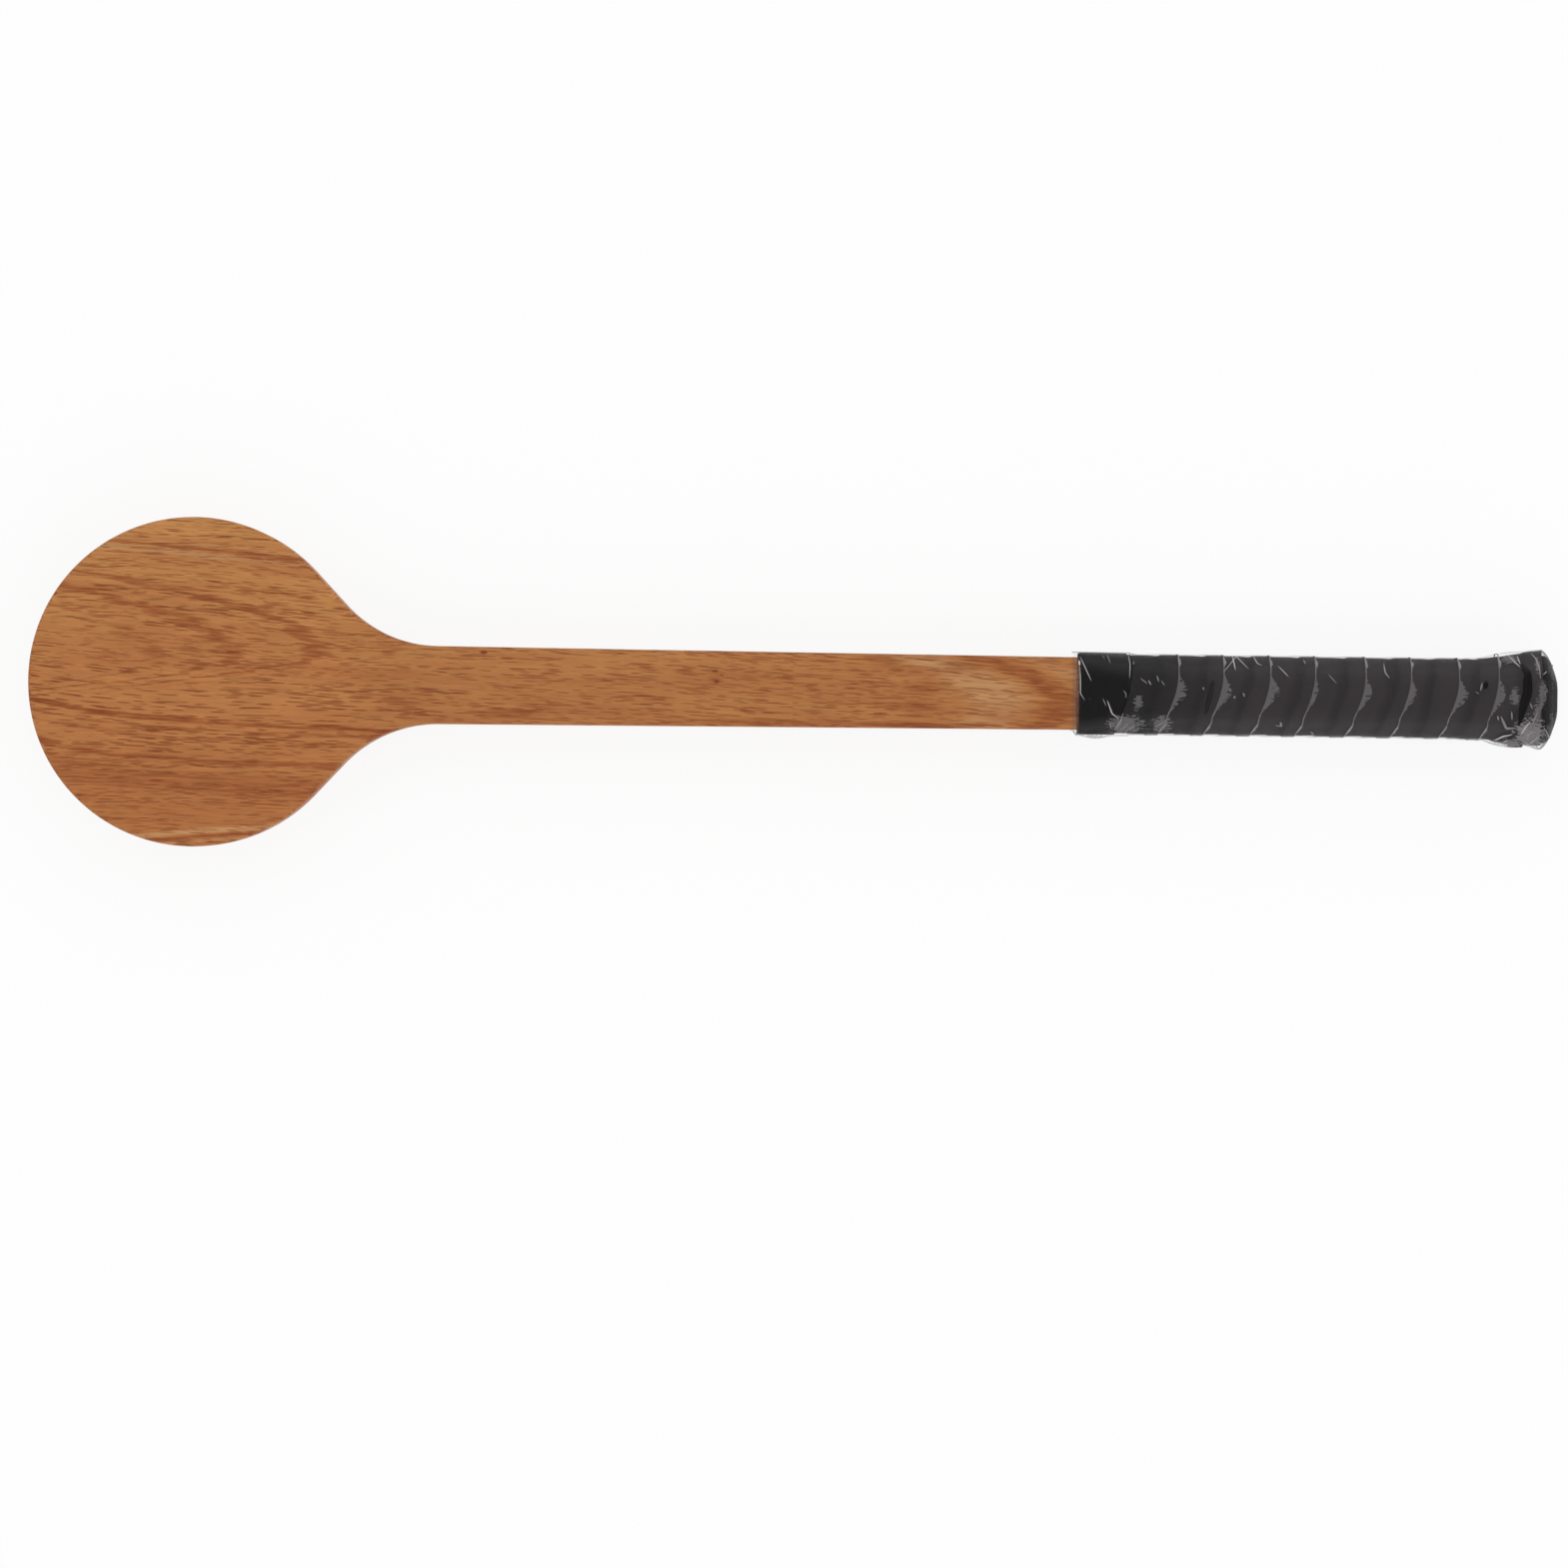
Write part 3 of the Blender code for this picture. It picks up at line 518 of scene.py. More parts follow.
def open_pores(add, grain):
    """Vessels cut lengthways: dark dashes about 0.3 mm wide and 2 to 15 mm long, crowded into rows."""
    crowd = stretched_noise(add, grain, (0.015, 0.4, 0.4), 2.0)
    crowded = add("MapRange", crowd, 0.36, 0.6, 0.7, 1.0)
    pores = None
    for length, pitch, least in ((20.0, 0.85, 0.3), (11.5, 0.62, 0.25), (7.0, 0.5, 0.28)):
        scale = (1 / length, 1 / pitch, 1 / pitch)
        scaled = add("VectorMath MULTIPLY", grain, scale)
        row = add("VectorMath FLOOR", scaled)
        row = add("VectorMath MULTIPLY", row, (0, 1, 1))
        slip = add("TexWhiteNoise", {"Vector": row}).outputs["Color"]
        slid = add("VectorMath MULTIPLY_ADD", slip, (40, 0, 0), scaled)
        cell = add("VectorMath FLOOR", slid)
        chance = add("TexWhiteNoise", {"Vector": cell})
        centre = add("VectorMath MULTIPLY_ADD", chance.outputs["Color"], (0, 0.4, 1), (0.5, 0.3, 0))
        inside = add("VectorMath FRACTION", slid)
        off = add("VectorMath SUBTRACT", inside, centre)
        size = (2.2, pitch / 0.18, 0.5 * pitch / 0.25)
        off = add("VectorMath MULTIPLY", off, size)
        away = add("VectorMath LENGTH", off)
        drawn = add("MapRange", chance, least, least + 0.45)
        limit = add("Math MULTIPLY", drawn, crowded)
        depth = add("Math SUBTRACT", limit, away)
        dash = add("MapRange", depth, -0.02, 0.18, {4: 0.9})
        pores = dash if pores is None else add("Math MAXIMUM", pores, dash)
    return pores


def oak_material(wood):
    """Oiled oak, sanded and rubbed with oil: satin, with open pores as fine dark dashes along the grain."""
    material, add = new_material("oiled oak")
    place = add("TexCoord").outputs["Object"]
    mm = add("VectorMath SCALE", place, {"Scale": 1 / MM})
    axes = add("SeparateXYZ", mm)
    x, y, z = axes.outputs

    # The grain leans off the axis, less in the lower half of the head, and wanders a little.
    wander = stretched_noise(add, mm, (0.012, 0.03, 0.03), 1.0)
    shift = add("Math MULTIPLY_ADD", wander, 4.0, -2.0)
    slope = add("MapRange", y, -25.0, 5.0, 0.012, 0.05)
    lean = add("Math MULTIPLY_ADD", x, slope, shift)
    across = add("Math ADD", y, lean)
    grain = add("CombineXYZ", x, across, z)

    tear = stretched_noise(add, grain, (0.05, 0.8, 0.5), 3.0)
    bands = cathedral(add, x, y, z, tear)
    bands = add("Math MAXIMUM", bands, long_streaks(add, x, y, tear))
    soft = {"interpolation_type": "SMOOTHSTEP"}
    bands = blots(add, mm, tear, 1.8, PATCHES, (11.0, 0.12), (2.0, 1.2), bands, **soft)
    # A pale tongue of wide-ringed wood beside the grip, with a redder ring round it.
    off = add("Math ADD", y, 4.0)
    bent = add("Math MULTIPLY", off, off)
    bent = add("Math MULTIPLY_ADD", bent, 0.12, x)
    torn = add("Math MULTIPLY_ADD", tear, 16.0, -8.0)
    tongue = add("Math ADD", bent, torn)
    redwood = band_ramp(add, tongue, ((94.0, 8.5, 0.8),), 40, 140)
    palewood = band_ramp(add, tongue, ((72.0, 15.0, 0.9), (112.0, 8.0, 0.6)), 40, 140)
    bands = add("Math MAXIMUM", bands, redwood)
    pores = open_pores(add, grain)

    # Fibre: fine pale and dark lines, and streaks that change from yellow tan to red tan.
    fibre = stretched_noise(add, grain, (0.07, 1.35, 1.35), 4.0, 0.65)
    streak = stretched_noise(add, grain, (0.03, 0.3, 0.3), 4.0, 0.6)
    tone = stretched_noise(add, grain, (0.012, 0.08, 0.08), 2.0)
    # Painted light: the wood is lighter towards the top of the head and darker towards its foot, as if lit
    # from the +Y side.
    upper = add("MapRange", y, -50.0, 50.0)
    body = add("Mix RGBA", upper, {6: wood.shaded_foot_colour, 7: wood.lit_top_colour})
    paled = add("Mix RGBA", palewood, {6: body, 7: wood.pale_colour})
    mixed = add("Math ADD", streak, tone)
    redder = add("MapRange", mixed, 0.84, 1.26, {4: 0.6})
    toned = add("Mix RGBA", redder, {6: paled, 7: wood.red_colour})
    brushed = add("MapRange", fibre, 0.34, 0.58, 0.4, 1.0)
    broken = add("Math MULTIPLY", bands, brushed)
    banded = add("Mix RGBA", broken, {6: toned, 7: wood.band_colour})
    lined = add("MapRange", fibre, 0.3, 0.7, 1.14, 0.87)
    # The neck and shaft are a little darker than the head.
    darker = add("MapRange SMOOTHSTEP", x, -165.0, -130.0, 1.02, 0.95)
    level = add("Math MULTIPLY", lined, darker)
    fibred = add("VectorMath SCALE", banded, {"Scale": level})
    pored = add("Mix RGBA", pores, {6: fibred, 7: wood.pore_colour})
    knots = blots(add, mm, tear, 0.8, KNOTS, (11.0, 0.2), (1.3, 0.9))
    pored = add("Mix RGBA", knots, {6: pored, 7: linear("#6B3116")})

    # A dark mark on the tip's edge.
    tip_mark_at = add("VectorMath SUBTRACT", mm, (-266.3, 9.0, 8.0))
    tip_mark_size = add("VectorMath MULTIPLY", tip_mark_at, (1.1, 0.24, 0.25))
    tip_mark_away = add("VectorMath LENGTH", tip_mark_size)
    tip_dark_mark = add("MapRange", tip_mark_away, 1.1, 0.7, {4: 0.85})
    tip_marked = add("Mix RGBA", tip_dark_mark, {6: pored, 7: linear("#2A1A12")})

    dull = add("Math MULTIPLY_ADD", pores, 0.2, 0.42)
    rough = add("Math MULTIPLY_ADD", fibre, 0.12, dull)
    hollow = add("Math MULTIPLY_ADD", pores, -1.0, 1.0)
    relief = add("Math MULTIPLY_ADD", fibre, 0.35, hollow)
    bump = add("Bump", {"Height": relief, "Strength": 0.15, "Distance": 0.05 * MM})
    coat(add, tip_marked, rough, 1.47, 0.3, bump)
    return material


def board_outline(wood, inset, head_steps, fillet_steps):
    """The board's outline pulled in by an inset, from the tip round to the tip."""
    along, across = math.cos(wood.flank_angle), math.sin(wood.flank_angle)
    neck = wood.neck_width / 2
    radius, fillet = HEAD_RADIUS - inset, wood.neck_fillet + inset
    head_x = TIP_X + HEAD_RADIUS
    flank = (HEAD_RADIUS * across - neck - wood.neck_fillet * (1 - across)) / along
    side = []
    for step in range(1, head_steps + 1):
        turn = math.pi - (math.pi - wood.flank_angle) * step / head_steps
        side.append((head_x + radius * math.cos(turn), radius * math.sin(turn)))
    fillet_x = head_x + HEAD_RADIUS * along + flank * across + wood.neck_fillet * along
    fillet_y = neck + wood.neck_fillet
    for step in range(fillet_steps + 1):
        turn = wood.flank_angle + (math.pi / 2 - wood.flank_angle) * step / fillet_steps
        side.append((fillet_x - fillet * math.cos(turn), fillet_y - fillet * math.sin(turn)))
    for share in (0.2, 0.4, 0.6, 0.8, 1.0):
        x = fillet_x + (SHOULDER_X - inset - fillet_x) * share
        half = neck + (wood.grip_end_width / 2 - neck) * share
        side.append((x, half - inset))
    return [(TIP_X + inset, 0.0)] + side + [(x, -y) for x, y in reversed(side)]


def board_mesh(wood):
    """The sawn board with eased edges, and the eight-sided tang that the grip hides."""
    half, eased = BOARD_THICKNESS / 2, wood.edge_radius
    quarter = [math.pi / 2 * step / 5 for step in range(6)]
    levels = [(eased * (1 - math.cos(a)), half - eased * (1 - math.sin(a))) for a in quarter]
    levels.append((eased + 0.4 * MM, half))
    rings = levels[::-1] + [(inset, -z) for inset, z in levels]
    loops = []
    for inset, z in rings:
        loops.append([(x, y, z if z else 0.0) for x, y in board_outline(wood, inset, 150, 36)])
    mesh = closed_tube("blade_board", loops, False)
    settle(mesh)
    ring = Ring(3, 3 * MM)
    spigot = -(COLLAR_WALL + FIT_GAP)
    last_x = BUTT_X - CAP_FLOOR
    stations = [(SHOULDER_X - 8 * MM, -0.5 * MM)]
    stations += [(GRIP_TOP_X + CHAMFER_RUN_OUT * s, 0.0) for s in (0, 0.25, 0.5, 0.75, 1)]
    stations += [(COLLAR_X - FIT_GAP, 0.0)]
    rows = [ring.row(x, height)[:-1] for x, height in stations]
    flat = ring.row(COLLAR_X - FIT_GAP, spigot)[:-1]
    for x in (COLLAR_X - FIT_GAP, last_x):
        row = flat.copy()
        row[:, 0] = x
        rows.append(row)
    tang = closed_tube("blade_tang", rows, False)
    settle(tang)
    form = bmesh.new()
    form.from_mesh(mesh)
    form.from_mesh(tang)
    form.to_mesh(mesh)
    form.free()
    mesh.shade_smooth()
    return mesh


# Property kinds: a length in metres and a linear colour
LengthProperty = partial(FloatProperty, unit="LENGTH")
ColourProperty = partial(FloatVectorProperty, size=4, subtype="COLOR")


class PointerWood(bpy.types.PropertyGroup):
    """Sizes and colours of the one-piece blade."""

    flank_angle: FloatProperty(
        name="Flank angle", description="Lean of the head's flanks",
        default=math.radians(42.9), subtype="ANGLE"
    )
    neck_fillet: LengthProperty(
        name="Neck fillet", description="Radius between head and shaft", default=0.0452
    )
    neck_width: LengthProperty(
        name="Shaft at neck", description="Shaft width below the head", default=0.0271
    )
    grip_end_width: LengthProperty(
        name="Shaft at grip", description="Shaft width beside the grip", default=0.0252
    )
    edge_radius: LengthProperty(name="Eased edge", description="Radius sanded on every edge", default=0.001)
    # Painted light: the tan at the top of the head and the warm tan at its foot carry painted light, the top
    # lit and the foot shaded.
    lit_top_colour: ColourProperty(
        name="Tan", description="Wood at the top of the head", default=linear("#BC824A")
    )
    shaded_foot_colour: ColourProperty(
        name="Warm tan", description="Wood at the foot of the head", default=linear("#AE6E3D")
    )
    red_colour: ColourProperty(
        name="Red tone", description="Broad soft change of tone", default=linear("#A25F33")
    )
    band_colour: ColourProperty(
        name="Ring bands", description="Late wood in the cathedral", default=linear("#8A441C")
    )
    pale_colour: ColourProperty(
        name="Pale tan", description="Wide-ringed wood beside the grip", default=linear("#C08E5E")
    )
    pore_colour: ColourProperty(name="Pores", description="Open pores", default=linear("#7A3A14"))


class PointerGrip(bpy.types.PropertyGroup):
    """Sizes and colours of the wound strip, the tape and the cap."""

    strip_pitch: LengthProperty(
        name="Pitch", description="Advance of the strip in one turn", default=0.01593
    )
    strip_width: LengthProperty(name="Strip width", description="Width of the strip", default=0.0214)
    strip_thickness: LengthProperty(
        name="Strip thickness", description="Thickness of the strip", default=0.0005
    )
    ply_gap: LengthProperty(name="Ply gap", description="Gap between two turns that lap", default=0.00047)
    body_thickness: LengthProperty(
        name="Body thickness", description="Thickness between the thin edges", default=0.00127
    )
    dip: LengthProperty(name="Dip", description="Hollow where the strip comes off a lap", default=0.00014)
    turns: FloatProperty(name="Turns", description="Turns of the strip", default=11.1)
    bow_depth: LengthProperty(
        name="Seam bow", description="How far the seams swing to the head", default=0.0044
    )
    bow_centre: FloatProperty(
        name="Bow centre", description="Place round the handle where the bow is nil", default=0.308
    )
    bow_reach: FloatProperty(
        name="Bow reach", description="Share of a turn that the swing takes", default=0.32
    )
    tape_width: LengthProperty(
        name="Tape width", description="Width of the finishing tape in front", default=0.0172
    )
    strip_colour: ColourProperty(name="Strip", description="Soft polyurethane", default=linear("#302B2D"))
    tape_colour: ColourProperty(name="Tape", description="Vinyl tape", default=linear("#131112"))
    cap_colour: ColourProperty(name="Cap", description="Moulded cap", default=linear("#151314"))


class PointerFilm(bpy.types.PropertyGroup):
    """The clear film over the grip."""

    tent: LengthProperty(name="Tent", description="Most that the film bridges beside a seam", default=0.0034)
    ripple: LengthProperty(name="Ripple", description="Height of the film's loose ripples", default=0.00009)
    # This grey is partly the film's haziness and partly painted reflection where the film stands off the
    # strip.
    haze_and_sheen_colour: ColourProperty(
        name="Haze", description="Film that stands clear of the strip", default=linear("#8C888A")
    )
    # Painted highlight: this pale colour stands in for the lamps' glints on the creases.
    painted_glint_colour: ColourProperty(
        name="Creases", description="Sharp creases in the film", default=linear("#D8D4D2")
    )


class PointerStage(bpy.types.PropertyGroup):
    """Floor, lamps and camera."""

    floor_colour: ColourProperty(name="Floor", description="Pale floor", default=linear("#FAFAFA"))
    sky: FloatProperty(name="Sky", description="Brightness of the soft surroundings", default=1.15)
    key_power: FloatProperty(name="Key lamp", description="Large soft lamp", default=9.6, unit="POWER")
    fill_power: FloatProperty(
        name="Fill lamp", description="Soft lamp on the other side", default=9.6, unit="POWER"
    )
    camera_distance: LengthProperty(
        name="Camera distance", description="From the camera to the face", default=3.2
    )
    camera_turn: FloatProperty(
        name="Camera turn", description="Turn of the camera about its view",
        default=math.radians(0.759), subtype="ANGLE"
    )
    view_width: LengthProperty(name="View width", description="Width of the view at the face", default=0.546)
    view_x: LengthProperty(name="View X", description="Middle of the view", default=-0.002744)
    view_y: LengthProperty(name="View Y", description="Middle of the view", default=-0.03291)


class POINTER_OT_stage(bpy.types.Operator):
    """Adds the pale floor that the pointer lies on, the soft lamps and the camera"""

    bl_idname = "pointer.stage"
    bl_label = "Stage"

    def execute(self, context):
        stage = context.scene.pointer_stage
        scene = context.scene
        scene.view_settings.view_transform = "Standard"

        # The floor leans so that the head's edge and the butt's flare both rest on it.
        head_low, butt_low = -BOARD_THICKNESS / 2, CAD_BOX[0][2]
        slope = (butt_low - head_low) / (RIM_X - TIP_X)
        far = FLOOR_HALF
        corners = ((-far, -far), (far, -far), (far, far), (-far, far))
        points = [(x, y, head_low + slope * (x - TIP_X) - FLOOR_GAP) for x, y in corners]
        floor_mesh = mesh_of("floor", points, [(0, 1, 2, 3)], smooth=False)
        floor = bpy.data.objects.new("floor", floor_mesh)
        floor_mesh.materials.append(floor_material(stage))
        scene.collection.objects.link(floor)

        world = bpy.data.worlds.new("studio")
        scene.world = world
        world.use_nodes = True
        world.node_tree.nodes.clear()
        add = partial(add_node, world.node_tree)
        axes = add("SeparateXYZ", add("TexCoord").outputs["Generated"])
        # Dark straight overhead, so that black stays black, and bright all round above the horizon.
        dome = ramp(add, axes.outputs[2], [(0.0, 0.75), (0.18, 0.8), (0.4, 0.92), (0.72, 0.8), (0.93, 0.16)])
        sky = add("Background", {"Color": dome, "Strength": stage.sky})
        add("OutputWorld", sky)

        for name, power, spot in (("key", stage.key_power, KEY_SPOT), ("fill", stage.fill_power, FILL_SPOT)):
            lamp = bpy.data.lights.new(name, "AREA")
            lamp.energy = power
            lamp.size = LAMP_SIZE
            holder = bpy.data.objects.new(name, lamp)
            holder.location = spot
            holder.rotation_euler = (-Vector(spot)).to_track_quat("-Z", "Y").to_euler()
            scene.collection.objects.link(holder)

        lens = bpy.data.cameras.new("camera")
        lens.sensor_width = SENSOR_MM
        lens.lens = SENSOR_MM * stage.camera_distance / stage.view_width
        camera = bpy.data.objects.new("camera", lens)
        camera.location = (stage.view_x, stage.view_y, stage.camera_distance + BOARD_THICKNESS / 2)
        camera.rotation_euler = (0, 0, stage.camera_turn)
        scene.collection.objects.link(camera)
        scene.camera = camera
        return {"FINISHED"}


def floor_material(stage):
    """Matte white paper: the camera and reflections see it near white, and it keeps the shadow."""
    material, add = new_material("white paper")
    ray = add("LightPath")
    seen = add("Math MAXIMUM", ray.outputs["Is Camera Ray"], ray.outputs["Is Glossy Ray"])
    shown = add("Math MAXIMUM", seen, ray.outputs["Is Transmission Ray"])
    share = add("Math MULTIPLY", shown, 0.88)
    paper = add("BsdfDiffuse", {"Color": stage.floor_colour})
    white = add("Emission", {"Color": linear("#FFFFFF"), "Strength": 1.0})
    mixed = add("MixShader", share, paper, white)
    add("OutputMaterial", mixed)
    return material


class POINTER_OT_blade(bpy.types.Operator):
    """Shapes the one-piece hardwood blade: head, neck, shaft and hidden tang"""

    bl_idname = "pointer.blade"
    bl_label = "Blade"

    def execute(self, context):
        wood = context.scene.pointer_wood
        add_piece("oak_blade", board_mesh(wood), oak_material(wood), "oak", "blade")
        return {"FINISHED"}


def cap_material(grip):
    """Black nylon, injection moulded: an even satin with the fine grain of an etched mould."""
    material, add = new_material("moulded black nylon")
    place = add("TexCoord").outputs["Object"]
    grain = add("TexNoise", {"Vector": place, "Scale": 1 / (0.35 * MM), "Detail": 2.0})
    bump = add("Bump", {"Height": grain, "Strength": 0.15, "Distance": 0.03 * MM})
    rough = add("MapRange", grain, {3: 0.5, 4: 0.6})
    coat(add, grip.cap_colour, rough, 1.53, 0.12, bump)
    return material


class POINTER_OT_butt_cap(bpy.types.Operator):
    """Lofts the moulded butt cap: collar, flare, domed end with a ring groove, and its bore"""

    bl_idname = "pointer.butt_cap"
    bl_label = "Butt cap"

    groove_radius: LengthProperty(
        name="Groove radius", description="Ring groove in the end face", default=0.0056
    )

    def execute(self, context):
        grip = context.scene.pointer_grip
        ring = Ring(5, 1.2 * MM)
        columns = len(ring.share) - 1

        def row(x, height=0.0, station=None):
            points = ring.row(station or x, height)[:-1]
            points[:, 0] = x
            return points

        bore = (BUTT_X - CAP_FLOOR + FIT_GAP, COLLAR_X)
        rows = [row(x, -COLLAR_WALL, COLLAR_X) for x in bore]
        outside = [COLLAR_X, COLLAR_X + COLLAR_TAPER / 2, COLLAR_X + COLLAR_TAPER]
        outside += list(np.linspace(FLARE_X, RIM_X, 19)[1:-1]) + list(np.linspace(RIM_X, BUTT_X, 15))
        rows += [row(x) for x in sorted(outside)]
        end = rows[-1]
        middle = end[:, 1:].mean(axis=0)
        angle = np.arctan2(end[:, 2] - middle[1], end[:, 1] - middle[0])
        deep = 0.5 * MM
        for radius, x in (
            (self.groove_radius + 0.9 * MM, BUTT_X),
            (self.groove_radius + 0.7 * MM, BUTT_X - 0.1 * MM),
            (self.groove_radius + 0.6 * MM, BUTT_X - deep),
            (self.groove_radius + 0.1 * MM, BUTT_X - deep),
            (self.groove_radius, BUTT_X - 0.1 * MM),
            (self.groove_radius - 0.2 * MM, BUTT_X),
            (self.groove_radius - 1.0 * MM, BUTT_X),
        ):
            across, up = radius * np.cos(angle), radius * np.sin(angle)
            rows.append(np.stack([np.full(columns, x), across, up], axis=-1))
        mesh = settle(closed_tube("cap", rows, False))
        mesh.shade_smooth()
        mesh.set_sharp_from_angle(angle=SHARP_ANGLE)
        add_piece("moulded_butt_cap", mesh, cap_material(grip), "cap_plastic", "butt_cap")
        return {"FINISHED"}


def wire_material():
    """Galvanised flat staple wire: grey zinc with faint drawing lines and dull spots."""
    material, add = new_material("galvanised staple wire")
    place = add("TexCoord").outputs["Object"]
    stretched = add("Mapping", place, {3: (6000, 400, 6000)})
    drawn = add("TexNoise", {"Vector": stretched, "Scale": 1.0, "Detail": 2.0})
    rough = add("MapRange", drawn, {3: 0.28, 4: 0.5})
    colour = add("Mix RGBA", drawn, {6: linear("#B4B6B8"), 7: linear("#D2D3D4")})
    shader = add("BsdfPrincipled", {"Base Color": colour, "Metallic": 1.0, "Roughness": rough})
    add("OutputMaterial", shader)
    return material


class POINTER_OT_staples(bpy.types.Operator):
    """Finishes the four wire staples that hold the cap's collar"""

    bl_idname = "pointer.staples"
    bl_label = "Staples"

    def execute(self, context):
        material = wire_material()
        found = [node for name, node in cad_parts.items() if name.startswith("cap_staple")]
        if len(found) != 4:
            raise RuntimeError("the packed model should hold four cap staples")
        for node in found:
            for place in node.material_slots:
                place.material = material
        return {"FINISHED"}


def strip_material(grip):
    """Soft black polyurethane on a felt back: matte, finely grained, with painted shade where it climbs each
    lap.
    """
    material, add = new_material("soft black polyurethane")
    place = add("TexCoord").outputs["Object"]
    past = add("Attribute", attribute_name="past_crest_mm")
    grain = add("TexVoronoi", {"Vector": place, "Scale": 1 / (0.5 * MM)})
    cloud = add("TexNoise", {"Vector": place, "Scale": 1 / (9 * MM), "Detail": 2.0})
    uneven = add("Math MULTIPLY_ADD", cloud, 4.0, -2.0)
    moved = add("Math ADD", past.outputs["Fac"], uneven)
    scaled = add("MapRange", moved, -6.0, 14.0)
    # Painted shade: a dark band in the tape's colour on the slope below each lap's crest.
    painted_climb_shade = ramp(add, scaled, [(0.0, 0.0), (0.22, 0.08), (0.32, 0.55), (0.4, 0.4), (0.52, 0.04)])
    colour = add("Mix RGBA", painted_climb_shade, {6: grip.strip_colour, 7: grip.tape_colour})
    axes = add("SeparateXYZ", place)
    # Painted shade: the strip is darker towards the tape at the head end.
    painted_tape_shade = add("MapRange SMOOTHSTEP", axes, GRIP_TOP_X + 18 * MM, GRIP_TOP_X + 62 * MM, 0.3, 1.0)
    shaded = add("VectorMath SCALE", colour, {"Scale": painted_tape_shade})
    bump = add("Bump", {"Height": grain, "Strength": 0.3, "Distance": 0.05 * MM})
    rough = add("MapRange", cloud, {3: 0.55, 4: 0.68})
    coat(add, shaded, rough, 1.45, 0.3, bump)
    return material


def handle_guide():
    """The bare handle's surface with its wrap coordinates, for the strip's node tree to wind on."""
    ring = Ring(5, 1.7 * MM)
    start, end = GRIP_TOP_X - MM, STRIP_BUTT_X + MM
    stations = np.linspace(start, end, 181)
    columns = len(ring.share)
    rows = np.stack([ring.row(x) for x in stations])
    faces, wraps = [], []
    for row in range(len(stations) - 1):
        for column in range(columns - 1):
            quad = ((row, column), (row, column + 1), (row + 1, column + 1), (row + 1, column))
            faces.append([r * columns + c for r, c in quad])
            wraps += [(c / (columns - 1), r / (len(stations) - 1)) for r, c in quad]
    mesh = mesh_of("handle_guide", rows.reshape(-1, 3), faces)
    note(mesh, "wrap", "FLOAT2", wraps, "CORNER")
    note(mesh, "outward", "FLOAT_VECTOR", np.tile(ring.outward, (len(stations), 1)))
    note(mesh, "share", "FLOAT", np.tile(ring.share, len(stations)))
    guide = bpy.data.objects.new("handle_guide", mesh)
    bpy.context.scene.collection.objects.link(guide)
    return guide, start, end - start, columns - 1


def run_tree(name, tree, values, base=None):
    """Evaluates a node tree with its inputs set and returns its mesh."""
    holder = bpy.data.objects.new(name, base or bpy.data.meshes.new(name))
    bpy.context.scene.collection.objects.link(holder)
    modifier = holder.modifiers.new(name, "NODES")
    modifier.node_group = tree
    for item in tree.interface.items_tree:
        if item.item_type == "SOCKET" and item.in_out == "INPUT" and item.name in values:
            modifier[item.identifier] = values[item.name]
    context = bpy.context
    context.view_layer.update()
    evaluated = holder.evaluated_get(context.evaluated_depsgraph_get())
    mesh = bpy.data.meshes.new_from_object(evaluated)
    holder.modifiers.remove(modifier)
    bpy.data.objects.remove(holder)
    return mesh


def new_tree(name, sockets):
    """A geometry tree with named inputs, the call that adds a node to it, and its input sockets."""
    tree = bpy.data.node_groups.new(name, "GeometryNodeTree")
    tree.interface.new_socket("Geometry", in_out="OUTPUT", socket_type="NodeSocketGeometry")
    for label, kind in (("Geometry", "Geometry"), *sockets):
        tree.interface.new_socket(label, in_out="INPUT", socket_type="NodeSocket" + kind)
    add = partial(add_node, tree)
    return tree, add, add("NodeGroupInput").outputs


def close_tree(add, shape, finish):
    """Ends a tree: smooth shading, real instances, and the material set."""
    smooth = add("SetShadeSmooth", shape)
    real = add("RealizeInstances", smooth)
    add("NodeGroupOutput", add("SetMaterial", {"Geometry": real, "Material": finish}))


def seam_station(add, given, turns, bow):
    """Where the strip's butt-side edge lies after so many turns, with the hand's unevenness."""
    share = add("Math MULTIPLY", turns, 1 / UNEVEN_TURNS[-1][0])
    table = ramp(add, share, [(t / UNEVEN_TURNS[-1][0], 0.5 + v / 10) for t, v in UNEVEN_TURNS], "LINEAR")
    uneven = add("Math MULTIPLY_ADD", table, 10 * MM, -5 * MM)
    wound = add("Math MULTIPLY", turns, given["Pitch"])
    straight = add("Math SUBTRACT", given["Start Edge"], wound)
    bowed = add("Math ADD", straight, bow)
    return add("Math ADD", bowed, uneven)


